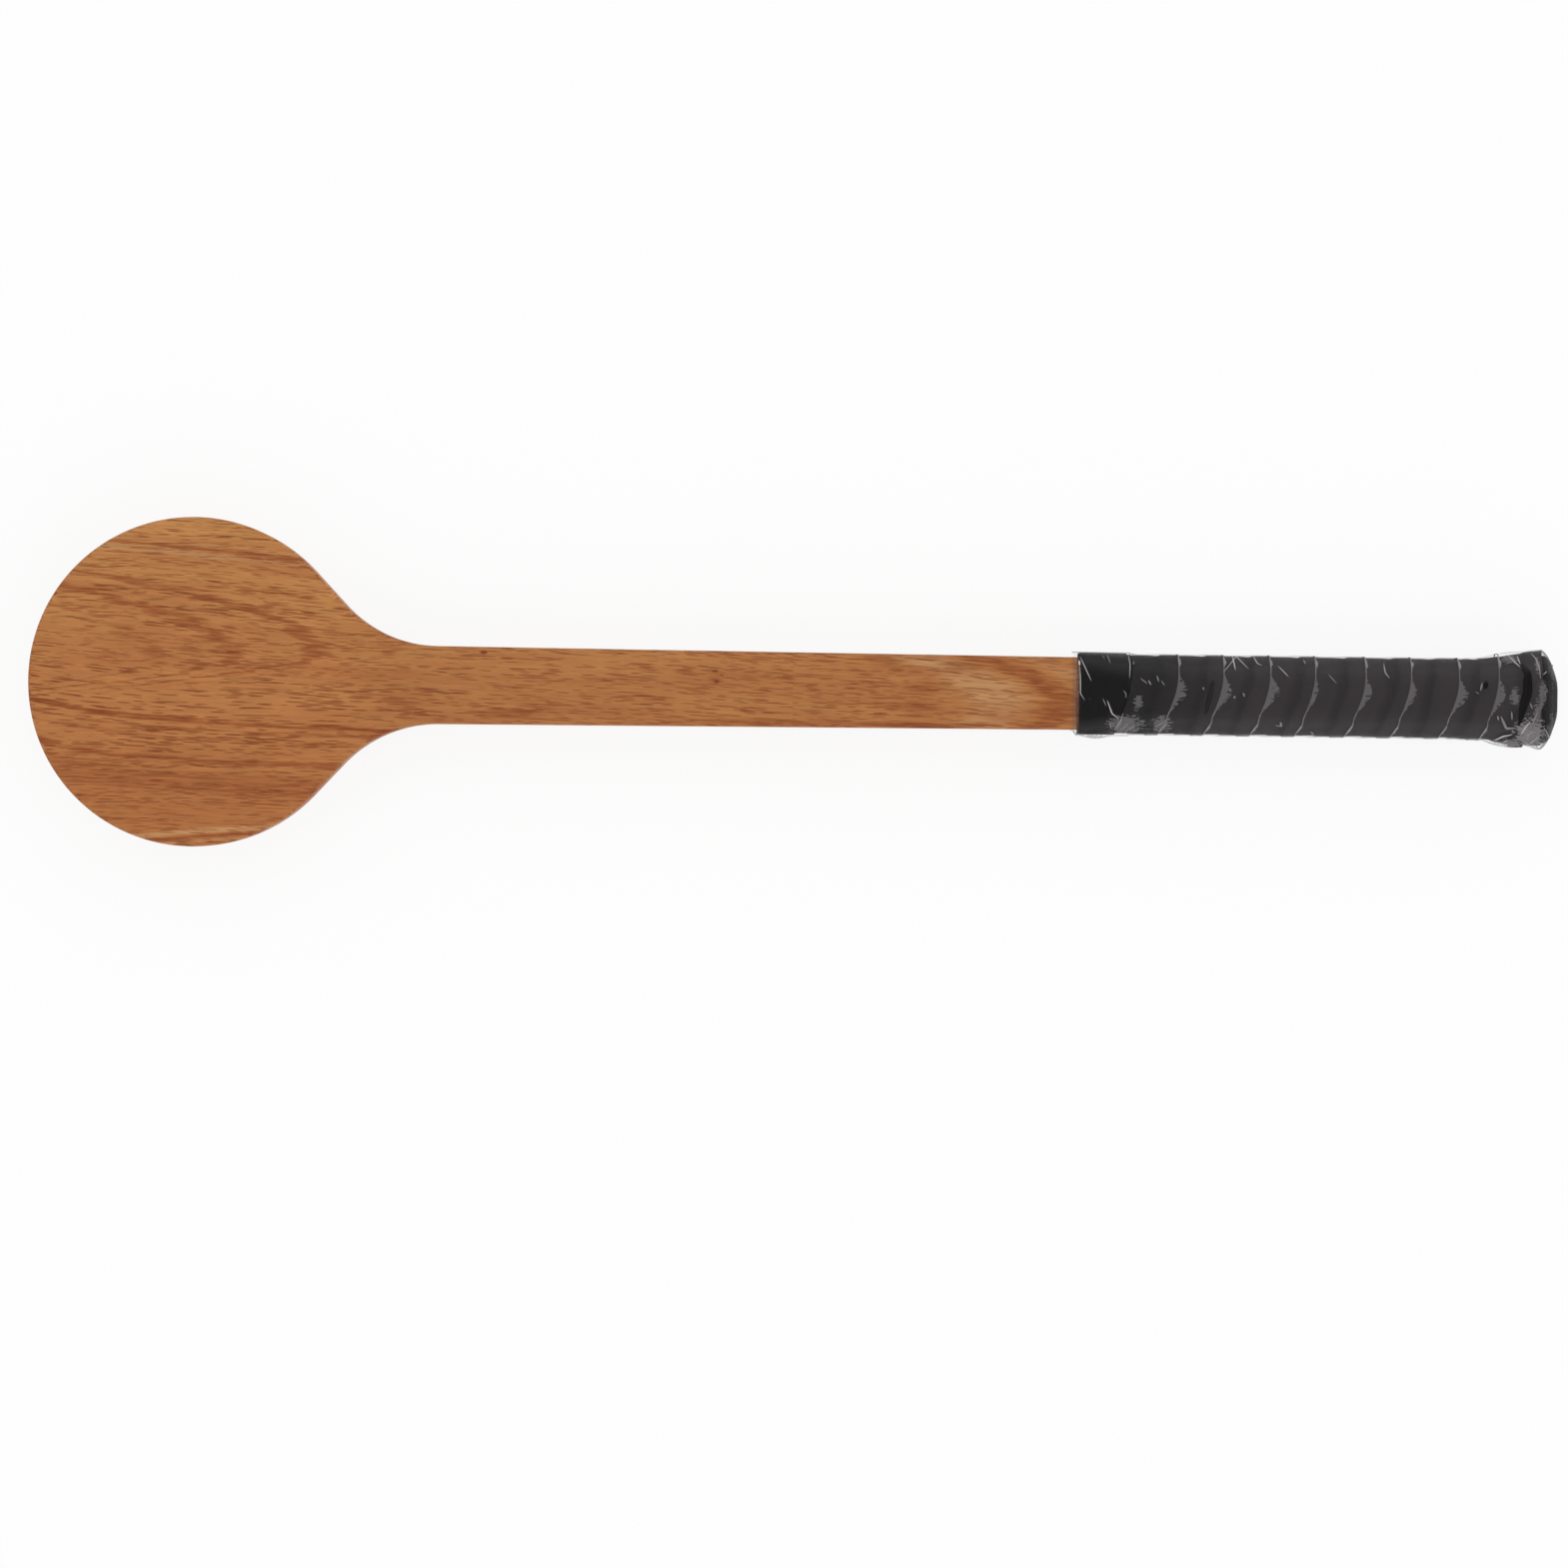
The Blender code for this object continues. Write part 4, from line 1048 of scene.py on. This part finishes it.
def winding_tree():
    """A strip wound round the guide: each turn laps the one before and its thin edges lie flush."""
    sockets = [("Guide", "Object"), ("Finish", "Material"), ("Steps", "Int")]
    tree, add, given = new_tree("wound strip", sockets + [(name, "Float") for name in STRIP_INPUTS])

    # The sheet's columns go across the strip's outside and back along its underside.
    columns = STRIP_COLUMNS[-1] + 1
    size = {"Size X": 1.0, "Size Y": 1.0}
    sheet = add("MeshGrid", {**size, "Vertices X": given["Steps"], "Vertices Y": 2 * columns + 1})
    place = add("SeparateXYZ", add("InputPosition"))
    along = add("Math ADD", place.outputs[0], 0.5)
    over = add("Math ADD", place.outputs[1], 0.5)
    counted = add("Math MULTIPLY", over, 2.0 * columns)
    number = add("Math ROUND", counted)
    looped = add("Math MODULO", number, 2.0 * columns - 0.5)
    under = add("Math GREATER_THAN", looped, columns - 0.5)
    mirrored = add("Math SUBTRACT", 2.0 * columns - 1, looped)
    column = add("Math MINIMUM", looped, mirrored)

    # How far round: the guide gives the share of a turn at each of its columns.
    turned = add("Math MULTIPLY", along, given["Turns"])
    nudged = add("Math ADD", turned, 0.0005)
    whole = add("Math FLOOR", nudged)
    rest = add("Math SUBTRACT", turned, whole)
    around = add("Math MAXIMUM", rest, 0.0)
    handle = add("ObjectInfo", given["Guide"], transform_space="RELATIVE")
    wrap = add("InputNamedAttribute FLOAT_VECTOR", {"Name": "wrap"})

    def sampled(value, spot, kind="FLOAT_VECTOR"):
        inputs = {"Mesh": handle.outputs["Geometry"], "Value": value, "UV Map": wrap, "Sample UV": spot}
        return add("SampleUVSurface " + kind, inputs)

    middle = add("CombineXYZ", around, 0.5)
    share = sampled(add("InputNamedAttribute FLOAT", {"Name": "share"}), middle, "FLOAT")
    turns = add("Math ADD", whole, share)
    before = add("Math SUBTRACT", turns, 1.0)
    after = add("Math ADD", turns, 1.0)

    # The seams' bow: nil at its centre, full at its reach.
    apart = add("Math SUBTRACT", share, given["Bow Centre"])
    wrapped = add("Math WRAP", apart, -0.5, 0.5)
    reach = add("Math ABSOLUTE", wrapped)
    bow = add("MapRange SMOOTHSTEP", reach, 0.0, given["Bow Reach"], 0.0, given["Bow"])

    # Stations across the strip: its edges, the crest of the lap, the foot of its slope, the next seam.
    edge = seam_station(add, given, turns, bow)
    edge_before = seam_station(add, given, before, bow)
    edge_after = seam_station(add, given, after, bow)
    far = add("Math SUBTRACT", edge, given["Width"])
    lap = add("Math SUBTRACT", edge_before, given["Width"])
    crest = add("Math SUBTRACT", lap, given["Clearance"])
    foot = add("Math SUBTRACT", crest, given["Slope"])
    hold = add("Math ADD", edge_after, DROP_TOP)
    drop = add("Math ADD", edge_after, DROP_FOOT)
    x = edge
    marks = (edge, foot, hold, drop, far)
    for index in range(4):
        first, last = STRIP_COLUMNS[index], STRIP_COLUMNS[index + 1]
        step = add("Math SUBTRACT", marks[index + 1], marks[index])
        part = add("MapRange", column, float(first), float(last))
        x = add("Math MULTIPLY_ADD", step, part, x)
    capped = add("Math MINIMUM", x, given["Butt Limit"])
    x = add("Math MAXIMUM", capped, given["Head Limit"])

    # Heights of the underside and the outside over the handle.
    climbed = add("Math SUBTRACT", x, foot)
    on_lap = add("Math DIVIDE", climbed, given["Slope"], use_clamp=True)
    lifted = add("MapRange SMOOTHSTEP", turns, given["Lift Starts"], given["Lift Ends"])
    lift = add("Math MULTIPLY", on_lap, lifted)
    bottom = add("Math MULTIPLY_ADD", lift, given["Lift"], given["Low"])
    thin = add("Math ADD", bottom, given["Thickness"])
    past = add("Math SUBTRACT", crest, x)
    dipped = add("MapRange SMOOTHSTEP", past, 1.0 * MM, 4.5 * MM, given["Dip"], 0.0)
    clear = add("Math SUBTRACT", x, edge_after)
    bare = add("MapRange", clear, DROP_FOOT, DROP_TOP)
    swell = add("Math MULTIPLY", lifted, bare)
    body = add("Math SUBTRACT", given["Body"], dipped)
    body_lift = add("Math MULTIPLY_ADD", body, swell, given["Low"])
    top = add("Math SMOOTH_MAX", thin, body_lift, 0.25 * MM)
    first_row = add("Math LESS_THAN", along, 1e-05)
    last_row = add("Math GREATER_THAN", along, 1 - 1e-05)
    at_end = add("Math ADD", first_row, last_row)
    open_under = add("Math SUBTRACT", 1.0, at_end)
    down = add("Math MULTIPLY", under, open_under)
    height = add("Mix FLOAT", down, {2: top, 3: bottom})

    # Each point goes to its place on the guide, raised by its height.
    from_start = add("Math SUBTRACT", x, given["Guide Start"])
    level = add("Math DIVIDE", from_start, given["Guide Length"])
    spot = add("CombineXYZ", around, level)
    on_handle = sampled(add("InputPosition"), spot)
    outward = sampled(add("InputNamedAttribute FLOAT_VECTOR", {"Name": "outward"}), spot)
    raised = add("VectorMath SCALE", outward, {"Scale": height})
    moved = add("VectorMath ADD", on_handle, raised)

    past_mm = add("Math MULTIPLY", past, 1 / MM)
    noted = add(
        "StoreNamedAttribute FLOAT", {"Geometry": sheet, "Name": "past_crest_mm", "Value": past_mm},
        domain="POINT",
    )
    laid = add("SetPosition", {"Geometry": noted, "Position": moved})
    close_tree(add, laid, given["Finish"])
    return tree


class POINTER_OT_grip_strip(bpy.types.Operator):
    """Winds the soft strip round the handle with a node tree, each turn lapping the one before"""

    bl_idname = "pointer.grip_strip"
    bl_label = "Grip strip"

    def execute(self, context):
        grip = context.scene.pointer_grip
        guide, start, length, per_turn = handle_guide()
        steps = round(grip.turns * per_turn)
        material = strip_material(grip)
        values = {
            "Guide": guide,
            "Finish": material,
            "Steps": steps + 1,
            "Turns": steps / per_turn,
            "Pitch": grip.strip_pitch,
            "Width": grip.strip_width,
            "Start Edge": STRIP_BUTT_X - STRIP_START_WIDTH + grip.strip_width,
            "Butt Limit": STRIP_BUTT_X,
            "Head Limit": GRIP_TOP_X,
            "Guide Start": start,
            "Guide Length": length,
            "Low": STRIP_LOW,
            "Lift": grip.strip_thickness + grip.ply_gap,
            "Thickness": grip.strip_thickness,
            "Body": grip.body_thickness,
            "Dip": grip.dip,
            "Clearance": LAP_CLEARANCE,
            "Slope": LAP_SLOPE,
            "Bow": -grip.bow_depth,
            "Bow Centre": grip.bow_centre,
            "Bow Reach": grip.bow_reach,
            "Lift Starts": LIFT_STARTS,
            "Lift Ends": LIFT_ENDS,
        }
        mesh = run_tree("wound_strip", winding_tree(), values)
        bpy.data.objects.remove(guide)
        if not mesh.vertices or min(v.co.x for v in mesh.vertices) < GRIP_TOP_X - MM:
            raise RuntimeError("the strip left its guide")
        settle(mesh)
        mesh.set_sharp_from_angle(angle=SHARP_ANGLE)
        soften(mesh)
        add_piece("wound_grip_strip", mesh, material, "grip_strip", "grip_wrap")
        return {"FINISHED"}


def tape_material(grip):
    """Black vinyl tape: glossy, soft enough to take the strip's unevenness."""
    material, add = new_material("glossy black vinyl")
    place = add("TexCoord").outputs["Object"]
    stretch = add("Mapping", place, {3: (260, 120, 120)})
    waves = add("TexNoise", {"Vector": stretch, "Scale": 1.0, "Detail": 2.0})
    bump = add("Bump", {"Height": waves, "Strength": 0.3, "Distance": 0.2 * MM})
    rough = add("MapRange", waves, {3: 0.26, 4: 0.38})
    coat(add, grip.tape_colour, rough, 1.45, 0.2, bump)
    return material


class POINTER_OT_finishing_tape(bpy.types.Operator):
    """Wraps the glossy tape round the grip's head end, its ends meeting behind the handle"""

    bl_idname = "pointer.finishing_tape"
    bl_label = "Finishing tape"

    def execute(self, context):
        grip = context.scene.pointer_grip
        ring = Ring(5, 1.0 * MM)
        share = ring.share
        edge = GRIP_TOP_X + grip.tape_width + np.interp(share, *zip(*TAPE_EDGE)) * MM
        top = STRIP_LOW + 2 * grip.strip_thickness + grip.ply_gap + SKIN_GAP
        across = np.linspace(0, 1, 13)
        x = GRIP_TOP_X + (edge[None, :] - GRIP_TOP_X) * across[:, None]
        under = ring.points(x, top)
        over = ring.points(x, top + TAPE_THICKNESS)
        joint = 0.6 * MM / np.linalg.norm(over[0, -1] - over[0, -2])
        loops = []
        for column in range(len(share)):
            loop = np.concatenate([over[:, column], under[::-1, column]])
            if column == len(share) - 1:
                before = loops[-1]
                loop = loop + (before - loop) * min(joint, 0.9)
            loops.append(loop)
        mesh = settle(closed_tube("tape", loops, False))
        mesh.shade_smooth()
        mesh.set_sharp_from_angle(angle=SHARP_ANGLE)
        soften(mesh)
        add_piece("vinyl_finishing_tape", mesh, tape_material(grip), "vinyl_tape", "finishing_tape")
        return {"FINISHED"}


def film_material(film):
    """Clear shrink film: a thin glossy skin, grey where trapped air holds it off the strip, partly the
    film's haziness and partly painted reflection of the surfaces over the air.
    """
    material, add = new_material("clear shrink film")
    place = add("TexCoord").outputs["Object"]
    tent = add("Attribute", attribute_name="tent")
    mm = add("VectorMath SCALE", place, {"Scale": 1 / MM})
    rag = stretched_noise(add, mm, (0.45, 1.3, 1.3), 2.0)
    ragged = add("Math MULTIPLY_ADD", rag, 2.8, tent.outputs["Fac"])
    tent_haze_and_sheen = add("MapRange", ragged, 1.55, 1.65, {4: 0.25})
    near = add("MapRange", tent.outputs["Fac"], 0.03, 0.12)
    tented = add("Math MULTIPLY", tent_haze_and_sheen, near)
    streaked = stretched_noise(add, mm, (0.7, 1.9, 1.0), 3.0)
    patch_haze_and_sheen = blots(add, mm, streaked, 2.8, FILM_PATCHES, (12.0, 0.1), (2.4, 2.2))

    # Painted reflection: film that slopes away is made greyer, standing in for the stronger reflection of a
    # film seen at a slant.
    shape = add("NewGeometry")
    tilt = add("SeparateXYZ", shape.outputs["Normal"])
    flat = add("Math ABSOLUTE", tilt.outputs[2])
    painted_slant_sheen = add("MapRange", flat, 0.97, 0.6, 1.0, 4.4)
    seams = add("Math MULTIPLY", tented, painted_slant_sheen, use_clamp=True)
    haze_and_sheen = add("Math MAXIMUM", patch_haze_and_sheen, seams)

    wide = add("TexNoise", {"Vector": mm, "Scale": 0.16, "Detail": 3.0, "Distortion": 1.5})
    ripples = add("Math MULTIPLY_ADD", rag, 0.25, wide)
    bump = add("Bump", {"Height": ripples, "Strength": 0.35, "Distance": 0.25 * MM})
    clear = add("BsdfTransparent", {"Color": (1, 1, 1, 1)})
    # Painted reflection: this grey diffuse layer is partly the film's haziness and partly stands in for
    # reflection from the surfaces over trapped air.
    cloudy_sheen = add("BsdfDiffuse", {"Color": film.haze_and_sheen_colour, "Normal": bump})
    veiled = add("MixShader", haze_and_sheen, clear, cloudy_sheen)
    gloss = add("BsdfAnisotropic", {"Color": linear("#A0A0A0"), "Roughness": 0.38, "Normal": bump})
    facing = add("Fresnel", {"IOR": 1.35, "Normal": bump})
    outer = add("Math SUBTRACT", 1.0, shape.outputs["Backfacing"])
    shine = add("Math MULTIPLY", facing, outer)
    skin = add("MixShader", shine, veiled, gloss)
    add("OutputMaterial", skin)
    return material


def tent_widths(ring, seam, film):
    """How wide the film stands off beside one seam: wide on the front and back, narrow elsewhere."""
    widths = np.full(len(ring.share), 0.5 * MM)
    share = TENT_SHARES[seam % len(TENT_SHARES)]
    for column, blend in enumerate(ring.blend):
        if blend and ring.corner[column] in (3, 7):
            widths[column] += film.tent * share * math.sin(math.pi * blend**0.85) ** 2
        elif blend:
            widths[column] += 0.2 * film.tent * math.sin(math.pi * blend)
    return widths


def film_rows(ring, grip, film):
    """Stations, heights over the handle and tent shares of the film's underside, butt to head."""
    share = ring.share
    flat = np.zeros(len(share))
    low_rise = grip.body_thickness - grip.strip_thickness
    high_rise = grip.strip_thickness + grip.ply_gap
    base = STRIP_LOW + grip.strip_thickness + SKIN_GAP
    high = base + high_rise
    on_tape = high + TAPE_THICKNESS + SKIN_GAP
    tape_end = GRIP_TOP_X + grip.tape_width + FIT_GAP
    butt_end, head_end = STRIP_BUTT_X + SKIN_GAP, tape_end + FILM_RISE
    crest = grip.strip_width - grip.strip_pitch + LAP_CLEARANCE
    rows = []
    for lap in range(math.ceil((butt_end + grip.strip_width - head_end) / grip.strip_pitch)):
        turns = share + lap
        lifted = smoothstep((turns - LIFT_STARTS) / (LIFT_ENDS - LIFT_STARTS))
        lifted_after = smoothstep((turns + 1 - LIFT_STARTS) / (LIFT_ENDS - LIFT_STARTS))
        edge, after = butt_edge(turns, grip), butt_edge(turns + 1, grip)
        tent = tent_widths(ring, lap + 1, film)
        over, level = base + high_rise * lifted, base + low_rise * lifted
        for step in (0.003, 0.35, 0.7, 1.0):
            rows.append((edge - crest * step, over, flat))
        start, end = edge - crest, after + tent
        for step in (0.12, 0.25, 0.4, 0.6, 0.8, 1.0):
            sag = smoothstep(step / 0.4)
            rows.append((start + (end - start) * step, over + (level - over) * sag, flat))
        for step in (0.3, 0.55, 0.8, 1.0):
            rise = level + (base + high_rise * lifted_after - level) * step**1.5
            rows.append((after + tent * (1 - step), rise, flat + step))
    kept = []
    for x in np.linspace(FILM_END_X, butt_end, 11)[:-1]:
        reach = (FILM_END_X - x) / (FILM_END_X - butt_end)
        kept.append((flat + x, flat + SKIN_GAP + (high - SKIN_GAP) * reach**2, flat))
    for x, height, tented in rows:
        shown = (x > head_end) & (x < butt_end)
        near_rim = smoothstep(1 - (butt_end - x) / (3.5 * MM))
        height = height + (high - height) * near_rim
        height = np.where(x <= head_end, high, height)
        kept.append((np.clip(x, head_end, butt_end), height, np.where(shown, tented, 0.0)))
    for x in np.linspace(tape_end, SHOULDER_X, 14):
        kept.append((flat + x, flat + on_tape, flat))
    return kept


def film_bulge(ring, x):
    """Extra height where the film bridges a hollow: beside the flare, and loose beside the tape."""
    side = np.abs(np.cos(ring.angle)) ** 2
    below = np.maximum(-np.cos(ring.angle), 0.0) ** 4
    waist = np.sin(math.pi * np.clip((x - FLARE_X - 4 * MM) / (RIM_X - 7 * MM - FLARE_X - 4 * MM), 0, 1))
    loose = np.sin(math.pi * np.clip((x - GRIP_TOP_X) / (13 * MM), 0, 1)) ** 2
    return 0.8 * MM * waist * side + 1.0 * MM * loose * below


def film_on_board(ring, wood):
    """Rows of points on the bare wood round its eased edges, out to a ragged end."""
    half_width, half = wood.grip_end_width / 2 + SKIN_GAP, BOARD_THICKNESS / 2 + SKIN_GAP
    radius = wood.edge_radius + SKIN_GAP
    middle = np.radians(112.5 + 45 * np.stack([ring.corner, ring.after]))
    core_y = np.sign(np.cos(middle)) * (half_width - radius)
    core_z = np.sign(np.sin(middle)) * (half - radius)
    y = core_y[0] + (core_y[1] - core_y[0]) * ring.blend + radius * np.cos(ring.angle)
    z = core_z[0] + (core_z[1] - core_z[0]) * ring.blend + radius * np.sin(ring.angle)
    above = np.maximum(np.cos(ring.angle), 0.0) ** 6
    rows = []
    start, end = SHOULDER_X - FILM_RISE, GRIP_TOP_X - FILM_ON_WOOD
    ragged = np.array([noise.noise((a / 0.004, b / 0.004, 0.7)) for a, b in zip(y, z)])
    for step in (0.0, 0.5, 1.0):
        x = start + (end - start) * step * (0.8 + 0.4 * ragged)
        rows.append(np.stack([np.maximum(x, end), y + 1.6 * MM * above, z], axis=-1))
    return rows


class POINTER_OT_grip_film(bpy.types.Operator):
    """Draws the clear film over the grip, with tents at the seams and a ragged edge on the wood"""

    bl_idname = "pointer.grip_film"
    bl_label = "Grip film"

    def execute(self, context):
        grip, film = context.scene.pointer_grip, context.scene.pointer_film
        ring = Ring(4, 0.9 * MM)
        inside, tents = [], []
        for x, height, tented in film_rows(ring, grip, film):
            height = height + film_bulge(ring, x)
            row = ring.points(x[None, :], height[None, :])[0]
            wave = np.array([max(noise.noise(Vector(p) * 260.0), 0.0) for p in row])
            inside.append(row + ring.outward * wave[:, None] * film.ripple)
            tents.append(tented)
        for row in film_on_board(ring, context.scene.pointer_wood):
            inside.append(row)
            tents.append(np.zeros(len(ring.share)))
        inside, tents = np.stack(inside), np.stack(tents)
        outside = inside + ring.outward * FILM_THICKNESS
        loops = np.concatenate([outside, inside[::-1]]).transpose(1, 0, 2)[:-1]
        mesh = closed_tube("film", loops, True)
        marks = np.concatenate([tents, tents[::-1]]).transpose(1, 0)[:-1]
        note(mesh, "tent", "FLOAT", marks)
        settle(mesh)
        mesh.shade_smooth()
        soften(mesh)
        add_piece("clear_grip_film", mesh, film_material(film), "clear_film", "grip_film")
        return {"FINISHED"}


def crease_tree():
    """Thin flattened ribs along the given lines, thick in the middle and pointed at their ends."""
    sockets = (("Finish", "Material"), ("Sides", "Int"), ("Spacing", "Float"), ("Flatness", "Float"))
    tree, add, given = new_tree("film creases", sockets)
    lines = add("MeshToCurve", given["Geometry"])
    curves = add("CurveSplineType", lines, spline_type="CATMULL_ROM")
    fine = add("ResampleCurve", {"Curve": curves, "Length": given["Spacing"]}, mode="LENGTH")
    place = {"Geometry": fine, "Name": "spot", "Value": add("InputPosition")}
    spots = add("StoreNamedAttribute FLOAT_VECTOR", place, domain="POINT")
    half = add("InputNamedAttribute FLOAT", {"Name": "half_width"})
    swing = add("Math MULTIPLY", add("SplineParameter"), math.pi)
    round_off = add("Math SINE", swing)
    eased = add("Math POWER", round_off, 0.6)
    tapered = add("Math MULTIPLY_ADD", eased, 0.97, 0.03)
    radius = add("Math MULTIPLY", half, tapered)
    ring = add("CurvePrimitiveCircle", {"Resolution": given["Sides"], "Radius": 1.0}, mode="RADIUS")
    swept = {"Curve": spots, "Profile Curve": ring, "Scale": radius, "Fill Caps": True}
    ribs = add("CurveToMesh", swept)
    middle = add("InputNamedAttribute FLOAT_VECTOR", {"Name": "spot"})
    facing = add("InputNamedAttribute FLOAT_VECTOR", {"Name": "facing"})
    upright = add("VectorMath NORMALIZE", facing)
    where = add("InputPosition")
    out = add("VectorMath SUBTRACT", where, middle)
    rise = add("VectorMath DOT_PRODUCT", out, upright)
    cut = add("Math MULTIPLY", rise, given["Flatness"])
    down = add("VectorMath SCALE", upright, {"Scale": cut})
    moved = add("VectorMath SUBTRACT", where, down)
    pressed = add("SetPosition", {"Geometry": ribs, "Position": moved})
    close_tree(add, pressed, given["Finish"])
    return tree


def crease_material(film):
    """Sharp folds in clear film: pale ones are painted highlights where the folds would catch the lamps,
    dark ones painted shade in a groove.
    """
    material, add = new_material("creased film with painted glints")
    pale = add("Attribute", attribute_name="pale")
    # Painted light: paleness runs from near-black painted shade in a groove to the pale painted glint.
    colour = add("Mix RGBA", pale.outputs["Fac"], {6: linear("#0B0A0A"), 7: film.painted_glint_colour})
    coat(add, colour, 0.4, 1.45, 0.2)
    return material


def crease_lines(film_piece):
    """The marked creases as edges on the film's outside, with their width, paleness and facing."""
    points, edges, halves, pales, facings = [], [], [], [], []
    for half, pale, *line in FILM_MARKS:
        corners = np.reshape(line, (-1, 2))
        legs = [math.dist(a, b) for a, b in zip(corners, corners[1:])]
        reach = np.concatenate([[0.0], np.cumsum(legs)])
        spots = np.linspace(0, reach[-1], max(round(reach[-1] / 0.5), 1) + 1)
        fine = zip(*(np.interp(spots, reach, values) for values in corners.T))
        for index, (x, y) in enumerate(fine):
            above = Vector((x * MM, y * MM, 0.06))
            hit, spot, normal, _ = film_piece.ray_cast(above, Vector((0, 0, -1)))
            if not hit:
                spot, normal = film_piece.closest_point_on_mesh(above)[1:3]
            points.append(spot)
            facings.append(normal)
            halves.append(half * MM)
            pales.append(pale)
            if index:
                edges.append((len(points) - 2, len(points) - 1))
    mesh = bpy.data.meshes.new("crease_lines")
    mesh.from_pydata(points, edges, [])
    note(mesh, "half_width", "FLOAT", halves)
    note(mesh, "pale", "FLOAT", pales)
    note(mesh, "facing", "FLOAT_VECTOR", facings)
    return mesh


class POINTER_OT_film_creases(bpy.types.Operator):
    """Draws the film's sharp creases and bubbles with a node tree, on the film's outside, coloured as
    painted glints and painted groove shade
    """

    bl_idname = "pointer.film_creases"
    bl_label = "Film creases"

    def execute(self, context):
        film_piece = bpy.data.objects.get("clear_grip_film")
        if film_piece is None:
            raise RuntimeError("the creases lie on the film, which has to be made first")
        material = crease_material(context.scene.pointer_film)
        values = {"Finish": material, "Sides": 6, "Spacing": 0.5 * MM, "Flatness": 0.8}
        mesh = run_tree("film_creases", crease_tree(), values, crease_lines(film_piece))
        settle(mesh, 1e-7)
        mesh.shade_smooth()
        add_piece("film_crease_marks", mesh, material, "clear_film")
        return {"FINISHED"}


class VIEW3D_PT_pointer(bpy.types.Panel):
    """Lists the pieces of the pointer and their sizes"""

    bl_label = "Tennis pointer"
    bl_space_type = "VIEW_3D"
    bl_region_type = "UI"
    bl_category = "Pointer"

    def draw(self, context):
        layout = self.layout
        for step in STEPS:
            layout.operator(step.bl_idname)
        for group in ("pointer_wood", "pointer_grip", "pointer_film", "pointer_stage"):
            box = layout.box()
            settings = getattr(context.scene, group)
            for name in settings.bl_rna.properties.keys():
                if name not in ("rna_type", "name"):
                    box.prop(settings, name)


STEPS = (
    POINTER_OT_stage,
    POINTER_OT_blade,
    POINTER_OT_butt_cap,
    POINTER_OT_staples,
    POINTER_OT_grip_strip,
    POINTER_OT_finishing_tape,
    POINTER_OT_grip_film,
    POINTER_OT_film_creases,
)
GROUPS = {
    "pointer_wood": PointerWood,
    "pointer_grip": PointerGrip,
    "pointer_film": PointerFilm,
    "pointer_stage": PointerStage,
}


def register():
    for kind in (*GROUPS.values(), *STEPS, VIEW3D_PT_pointer):
        bpy.utils.register_class(kind)
    for name, kind in GROUPS.items():
        setattr(bpy.types.Scene, name, PointerProperty(type=kind))


def unregister():
    for name in GROUPS:
        delattr(bpy.types.Scene, name)
    for kind in (VIEW3D_PT_pointer, *reversed(STEPS), *reversed(GROUPS.values())):
        bpy.utils.unregister_class(kind)


def main():
    register()
    bpy.ops.pointer.stage()
    bpy.ops.pointer.blade()
    bpy.ops.pointer.butt_cap()
    bpy.ops.pointer.staples()
    bpy.ops.pointer.grip_strip()
    bpy.ops.pointer.finishing_tape()
    bpy.ops.pointer.grip_film()
    bpy.ops.pointer.film_creases()


if __name__ == "__main__":
    main()
